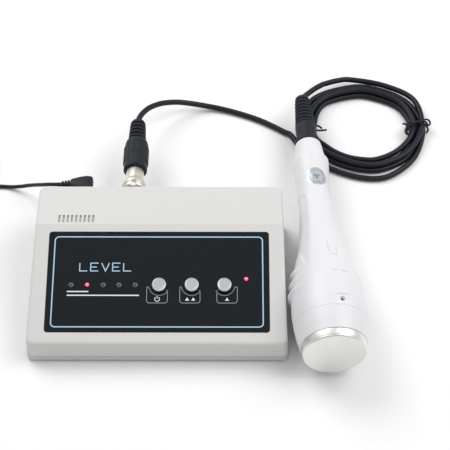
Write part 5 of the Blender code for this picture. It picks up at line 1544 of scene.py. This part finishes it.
@dataclass
class OutputCable:
    """The cable between the output plug and the handpiece, coiled on the table in nearly five turns.

    The coil is given as radius and height at twelve stations of each turn, joined by a smooth curve, so the turns
    lie side by side in places, ride over each other in others and open out at the front of the coil.
    """

    diameter: float = 3.8
    middle: tuple = (132.2, 83.3)
    lead: list = field(default_factory=lambda: [
        (-18, 64.0, 24), (-18, 67.3, 24), (-18, 69.3, 24), (-17.2, 73, 23.8), (-15, 78, 23), (-11.6, 84.1, 21),
        (-7, 90, 18), (-1.8, 94.8, 15), (6.6, 99.9, 10.6), (15.2, 102.3, 7), (24.5, 103, 4.2), (35, 102, 2.4),
        (48, 98, 1.9), (61.5, 92, 1.9), (71.8, 85.8, 1.9), (80.6, 79.6, 1.9)])
    stations: tuple = (188, 216, 244, 270, 290, 316, 340, 365, 395, 425, 455, 500)
    turns: list = field(default_factory=lambda: [
        [(48.0, 1.9), (44.6, 1.9), (42.9, 1.9), (45.0, 1.9), (46.2, 1.9), (43.9, 1.9), (42.2, 1.9), (42.5, 1.9),
         (42.3, 1.9), (40.4, 1.9), (40.2, 1.9), (42.0, 1.9)],
        [(40.4, 1.9), (37.2, 1.9), (36.3, 1.9), (37.9, 1.9), (39.2, 1.9), (39.6, 1.9), (38.4, 1.9), (38.6, 1.9),
         (38.2, 1.9), (36.2, 1.9), (35.9, 1.9), (37.7, 1.9)],
        [(36.4, 1.9), (33.4, 1.9), (32.5, 1.9), (34.1, 1.9), (35.4, 1.9), (35.8, 1.9), (34.6, 1.9), (34.8, 1.9),
         (34.2, 1.9), (31.6, 1.9), (31.4, 1.9), (33.4, 1.9)],
        [(32.2, 1.9), (29.2, 1.9), (28.2, 1.9), (28.6, 1.9), (29.8, 1.9), (31.6, 3.0), (34.4, 4.9), (36.4, 5.2),
         (36.3, 5.2), (34.3, 5.2), (34.0, 5.2), (35.8, 5.2)],
        [(38.2, 5.2), (35.3, 5.2), (34.4, 5.2), (36.0, 5.2), (37.3, 5.2), (38.4, 5.4), (39.6, 5.7), (42.2, 5.7),
         (46.0, 4.6), (44.4, 3.6), (44.8, 4.8)]])
    arrival: list = field(default_factory=lambda: [(118.2, 125.0, 6.8), (107.9, 118.2, 10.0)])
    tail: list = field(default_factory=lambda: [
        (107.9, 118.2, 10.0), (103.4, 113.8, 11.3), (99.5, 109.0, 12.8), (96.4, 104.4, 14.4), (94.1, 100.6, 15.9),
        (92.7, 97.2, 16.9), (92.2, 94.0, 17.3), (92.4, 90.6, 17.4)])

    def coil(self) -> list:
        """Find places on the coil from the radius and height at each station.

        Returns:
            Places in millimetres, in order along the cable.
        """
        places = []
        for i, turn in enumerate(self.turns):
            for angle, (radius, height) in zip(self.stations, turn):
                a = math.radians(angle + 360.0 * i)
                places.append((self.middle[0] + radius * math.cos(a), self.middle[1] + radius * math.sin(a), height))
        return places

    def build(self, plug: list) -> None:
        """Make the cable, its wire ties and the short stretch at the handpiece.

        Args:
            plug: Pieces at the console's end that belong to the cable; not used.
        """
        path = smooth_line(placed(self.lead + self.coil() + self.arrival), 1.6 * MM)
        main = swept_piece("output_cable", path, self.diameter / 2 * MM, MATERIALS["cord"], 16)
        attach(main, CONSOLE_BODY)
        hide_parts("handpiece_cable_lead", "handpiece_cable_coil")
        ties = self.ties()
        log.info("output cable %.3f m", line_length(path))
        short = smooth_line(placed(self.tail)[::-1], 1.2 * MM)
        end = swept_piece("output_cable_end", short, self.diameter / 2 * MM, MATERIALS["cord"], 16)
        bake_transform(end)
        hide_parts("handpiece_cable_tail")
        log.info("cable end %.3f m", line_length(short))

    def ties(self) -> list:
        """Make thin wires: two crossed hoops over the coil with twisted tips, and two tips at the handpiece side.

        Returns:
            The pieces.
        """
        lines = {
            "tie_hoop_rear": [(177.6, 81.0, 0.7), (178.2, 81.4, 3.0), (176.8, 82.0, 6.0), (173.0, 82.8, 7.9),
                              (169.0, 83.4, 8.0), (165.6, 84.4, 6.6), (164.0, 85.2, 4.0), (164.2, 85.6, 0.7)],
            "tie_hoop_front": [(177.6, 86.6, 0.7), (178.2, 86.2, 3.0), (177.0, 85.4, 6.2), (173.2, 84.0, 8.9),
                               (168.8, 82.4, 9.0), (165.2, 80.8, 6.8), (163.7, 80.0, 4.0), (164.0, 79.6, 0.7)],
            "tie_tip_inner": [(167.6, 81.8, 8.2), (164.8, 80.6, 8.0), (162.6, 78.8, 7.0), (162.0, 76.4, 6.0),
                              (163.4, 74.6, 5.6), (164.8, 76.2, 6.2), (164.2, 78.8, 7.4), (162.4, 81.6, 8.0),
                              (160.4, 82.6, 7.6)],
            "tie_tip_outer": [(174.0, 84.6, 8.4), (175.8, 85.8, 8.4), (178.0, 86.0, 8.0), (179.4, 84.6, 7.2),
                              (179.0, 82.8, 6.6), (177.4, 82.2, 6.4), (176.4, 83.8, 7.0)],
            "tie_left_over": [(90.0, 80.0, 8.8), (93.0, 79.8, 9.0), (96.5, 79.4, 8.8), (99.6, 79.2, 8.2),
                              (101.4, 79.9, 8.2), (103.2, 79.2, 8.6), (105.2, 77.2, 8.4)],
            "tie_left_under": [(90.0, 77.8, 8.8), (93.5, 77.2, 9.0), (97.6, 76.4, 8.8), (101.0, 76.0, 8.0),
                               (104.4, 76.2, 7.6), (108.4, 76.2, 8.2)],
        }
        made = []
        for name, line in lines.items():
            path = smooth_line(placed(line), 0.6 * MM)
            wire = swept_piece(name, path, 0.65 * MM, MATERIALS["plug"], 10, (0.0, 1.0, 0.2))
            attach(wire, CONSOLE_BODY)
            made.append(wire)
        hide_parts("coil_tie")
        return made


@dataclass
class SupplyCord:
    """The thin cord from the supply plug through a small three-layer coil to the plug-in adapter.

    In the coil, radius and height follow the number of turns wound: out, in and out again in three layers, with the
    turns above the cord's own way in raised over it.
    """

    diameter: float = 2.5
    middle: tuple = (-137.0, 46.2)
    lead: list = field(default_factory=lambda: [
        (-63.0, 11.5, 26), (-66.8, 11.5, 26), (-68.6, 11.5, 26), (-72.4, 12.9, 24.4), (-77.5, 16.2, 20.2),
        (-82.5, 20.6, 15), (-88, 25, 9.4), (-94.5, 28.4, 4.4), (-101.5, 30.4, 1.7), (-108, 31.2, 1.25),
        (-115, 31.2, 1.25), (-121.3, 31.2, 1.25), (-129.0, 31.2, 1.25)])
    tail: list = field(default_factory=lambda: [
        (-158.5, 29.6, 1.25), (-162.6, 24.6, 1.3), (-163.4, 17, 2.6), (-161.6, 9.6, 7.2), (-160.3, 4.4, 11.6),
        (-160, 0.6, 13.6), (-160, -2.7, 14), (-160, -5.5, 14)])
    wound: tuple = (0.0, 0.45, 3.55, 3.85, 6.95, 7.25, 10.35, 10.6, 10.85, 11.13)
    radii: tuple = (15.0, 11.8, 19.5, 19.6, 11.9, 11.8, 19.6, 21.0, 22.4, 21.7)
    heights: tuple = (1.25, 1.25, 1.25, 3.85, 3.85, 6.45, 6.45, 6.2, 3.8, 1.25)

    def coil(self) -> np.ndarray:
        """Find places on the coil, wound clockwise from above, at twelve or more points in each turn.

        Returns:
            Places in millimetres, one row each.
        """
        turns = np.linspace(0.0, self.wound[-1], 180)
        radius = np.interp(turns, self.wound, self.radii)
        height = np.interp(turns, self.wound, self.heights)
        angle = -90.0 - 360.0 * turns
        over = bump_at((angle + 85.0 + 180.0) % 360.0 - 180.0, 48.0) * step_at(radius, 13.0, 0.6)
        held = step_at(turns, 0.7, 0.1) * (1 - step_at(turns, 10.4, 0.08))
        height = height + 2.6 * over * held
        a = np.radians(angle)
        return np.stack([self.middle[0] + radius * np.cos(a), self.middle[1] + radius * np.sin(a), height], axis=1)

    def build(self, plug: bpy.types.Object) -> None:
        """Make the cord in place of its plain lengths.

        Args:
            plug: The plug at the console's end.
        """
        path = smooth_line(placed(np.vstack([self.lead, self.coil(), self.tail])), 1.3 * MM)
        cord = swept_piece("supply_cord", path, self.diameter / 2 * MM, MATERIALS["cord"], 12)
        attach(cord, CONSOLE_BODY)
        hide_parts("supply_cord_lead", "supply_cord_coil", "supply_cord_tail")
        pieces = [frame["nodes"][n] for n in ("power_adapter", "adapter_blade_left", "adapter_blade_right")]
        pieces += [plug, frame["nodes"]["supply_plug_barrel"]]
        log.info("supply cord %.3f m", line_length(path))


@dataclass
class AdapterTrim:
    """A raised blank label and a row of grip ribs on the plug-in adapter: flat strips with rounded outlines."""

    middle: tuple = (-160.0, -43.0)
    top: float = 28.0
    rib_count: int = 5

    def plate(self, name: str, half: tuple, centre: tuple, corner: float, finish: str) -> None:
        """A thin plate: its outline is a rectangle with quarter-circle corners, its edge slightly sloped.

        Args:
            name: The piece's name.
            half: Half its width and half its length.
            centre: Its middle on the table.
            corner: Radius of its corners.
            finish: Key of its finish.
        """
        rings = []
        for inset, height in ((0.0, -0.2), (0.0, 0.12), (0.12, 0.25)):
            w, d, c = half[0] - inset, half[1] - inset, max(corner - inset, 0.1)
            rings.append([(centre[0] + x, centre[1] + y, self.top + height) for x, y in rounded_box(-w, w, -d, d, c)])
        points = placed(np.array(rings))
        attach(mesh_piece(name, points, tube_faces(3, points.shape[1]), MATERIALS[finish]), CONSOLE_BODY)

    def build(self) -> None:
        """Make the label and the ribs."""
        x, y = self.middle
        self.plate("adapter_label", (12.5, 16.0), (x, y - 2.0), 2.0, "print_grey")
        for i in range(self.rib_count):
            self.plate(f"adapter_rib_{i + 1}", (11.0, 0.6), (x, y + 18.5 + 1.9 * i), 0.55, "plug")
        log.info("adapter trim")


# ---------------------------------------------------------------- table, light and camera

@dataclass
class Studio:
    """A pale table under soft light, seen from the front and above."""

    eye: tuple = (40.59, -508.14, 624.84)
    tilt: float = 39.10
    turn: float = 0.106
    lens: float = 100.0
    sensor: float = 36.0
    near: float = 0.05
    table_reach: float = 1.5
    room_light: float = 0.56
    aim: tuple = (50, 20, 0)
    lamps: tuple = (("rear_left_light", (-0.75, 0.75), 0.9, 11.0), ("right_light", (0.85, 0.15), 0.9, 9.0))
    lamp_height: float = 1.15

    def table(self) -> None:
        """A wide flat table top whose surface is the floor."""
        across = np.linspace(-self.table_reach, self.table_reach, 7)
        x, y = np.meshgrid(across, across)
        points = np.stack([np.stack([x, y, np.full_like(x, z)], axis=-1) for z in (0.0, -0.02)])
        mesh_piece("table_top", points, paired_faces(*x.shape), MATERIALS["table"])

    def lamp(self, name: str, place: tuple, aim: tuple, size: float, power: float) -> None:
        """A square soft light that faces a point.

        Args:
            name: The light's name.
            place: Where it hangs, in metres.
            aim: What it faces, in metres.
            size: Length of its side in metres.
            power: Watts.
        """
        data = bpy.data.lights.new(name, "AREA")
        data.size = size
        data.energy = power
        obj = bpy.data.objects.new(name, data)
        bpy.context.scene.collection.objects.link(obj)
        obj.location = place
        obj.rotation_euler = (Vector(aim) - Vector(place)).to_track_quat("-Z", "Y").to_euler()

    def build(self) -> None:
        """Set the table, the lights, the surroundings and the camera."""
        scene = bpy.context.scene
        self.table()
        aim = tuple(placed(self.aim))
        for name, away, size, power in self.lamps:
            self.lamp(name, (aim[0] + away[0], aim[1] + away[1], self.lamp_height), aim, size, power)
        world = bpy.data.worlds.new("soft_room")
        scene.world = world
        world.use_nodes = True
        background = world.node_tree.nodes["Background"]
        background.inputs["Color"].default_value = (1.0, 1.0, 1.0, 1.0)
        background.inputs["Strength"].default_value = self.room_light
        scene.view_settings.view_transform = "Standard"
        data = bpy.data.cameras.new("camera")
        data.lens = self.lens
        data.sensor_width = self.sensor
        data.dof.use_dof = False
        data.clip_start = self.near
        camera = bpy.data.objects.new("camera", data)
        scene.collection.objects.link(camera)
        camera.location = placed(self.eye)
        camera.rotation_euler = (math.radians(self.tilt), 0.0, math.radians(self.turn))
        scene.camera = camera
        log.info("studio set")


def main() -> None:
    """Build the device piece by piece."""
    logging.basicConfig(level=logging.INFO, format="%(message)s")
    Studio().build()
    dress_kept_nodes()
    PrintedPanel().build()
    PushButton(Key.ON_OFF, "on_off_button", "on_off_key").build()
    PushButton(Key.FAST_UP, "fast_up_button", "fast_up_key").build()
    PushButton(Key.SLOW_UP, "slow_up_button", "slow_up_key").build()
    for i, across in enumerate(LEVEL_LIGHTS):
        state = LightState.LIT if i == LIT_LEVEL else LightState.UNLIT
        IndicatorLight(f"level_light_{i + 1}", across, LEVEL_DEPTH, state).build()
    IndicatorLight("power_light", *POWER_LIGHT, LightState.LIT).build()
    VentInsert().build()
    Handpiece().build()
    OutputCable().build(OutputPlug().build())
    SupplyCord().build(SupplyPlug().build())
    AdapterTrim().build()
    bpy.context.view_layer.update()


if __name__ == "__main__":
    main()
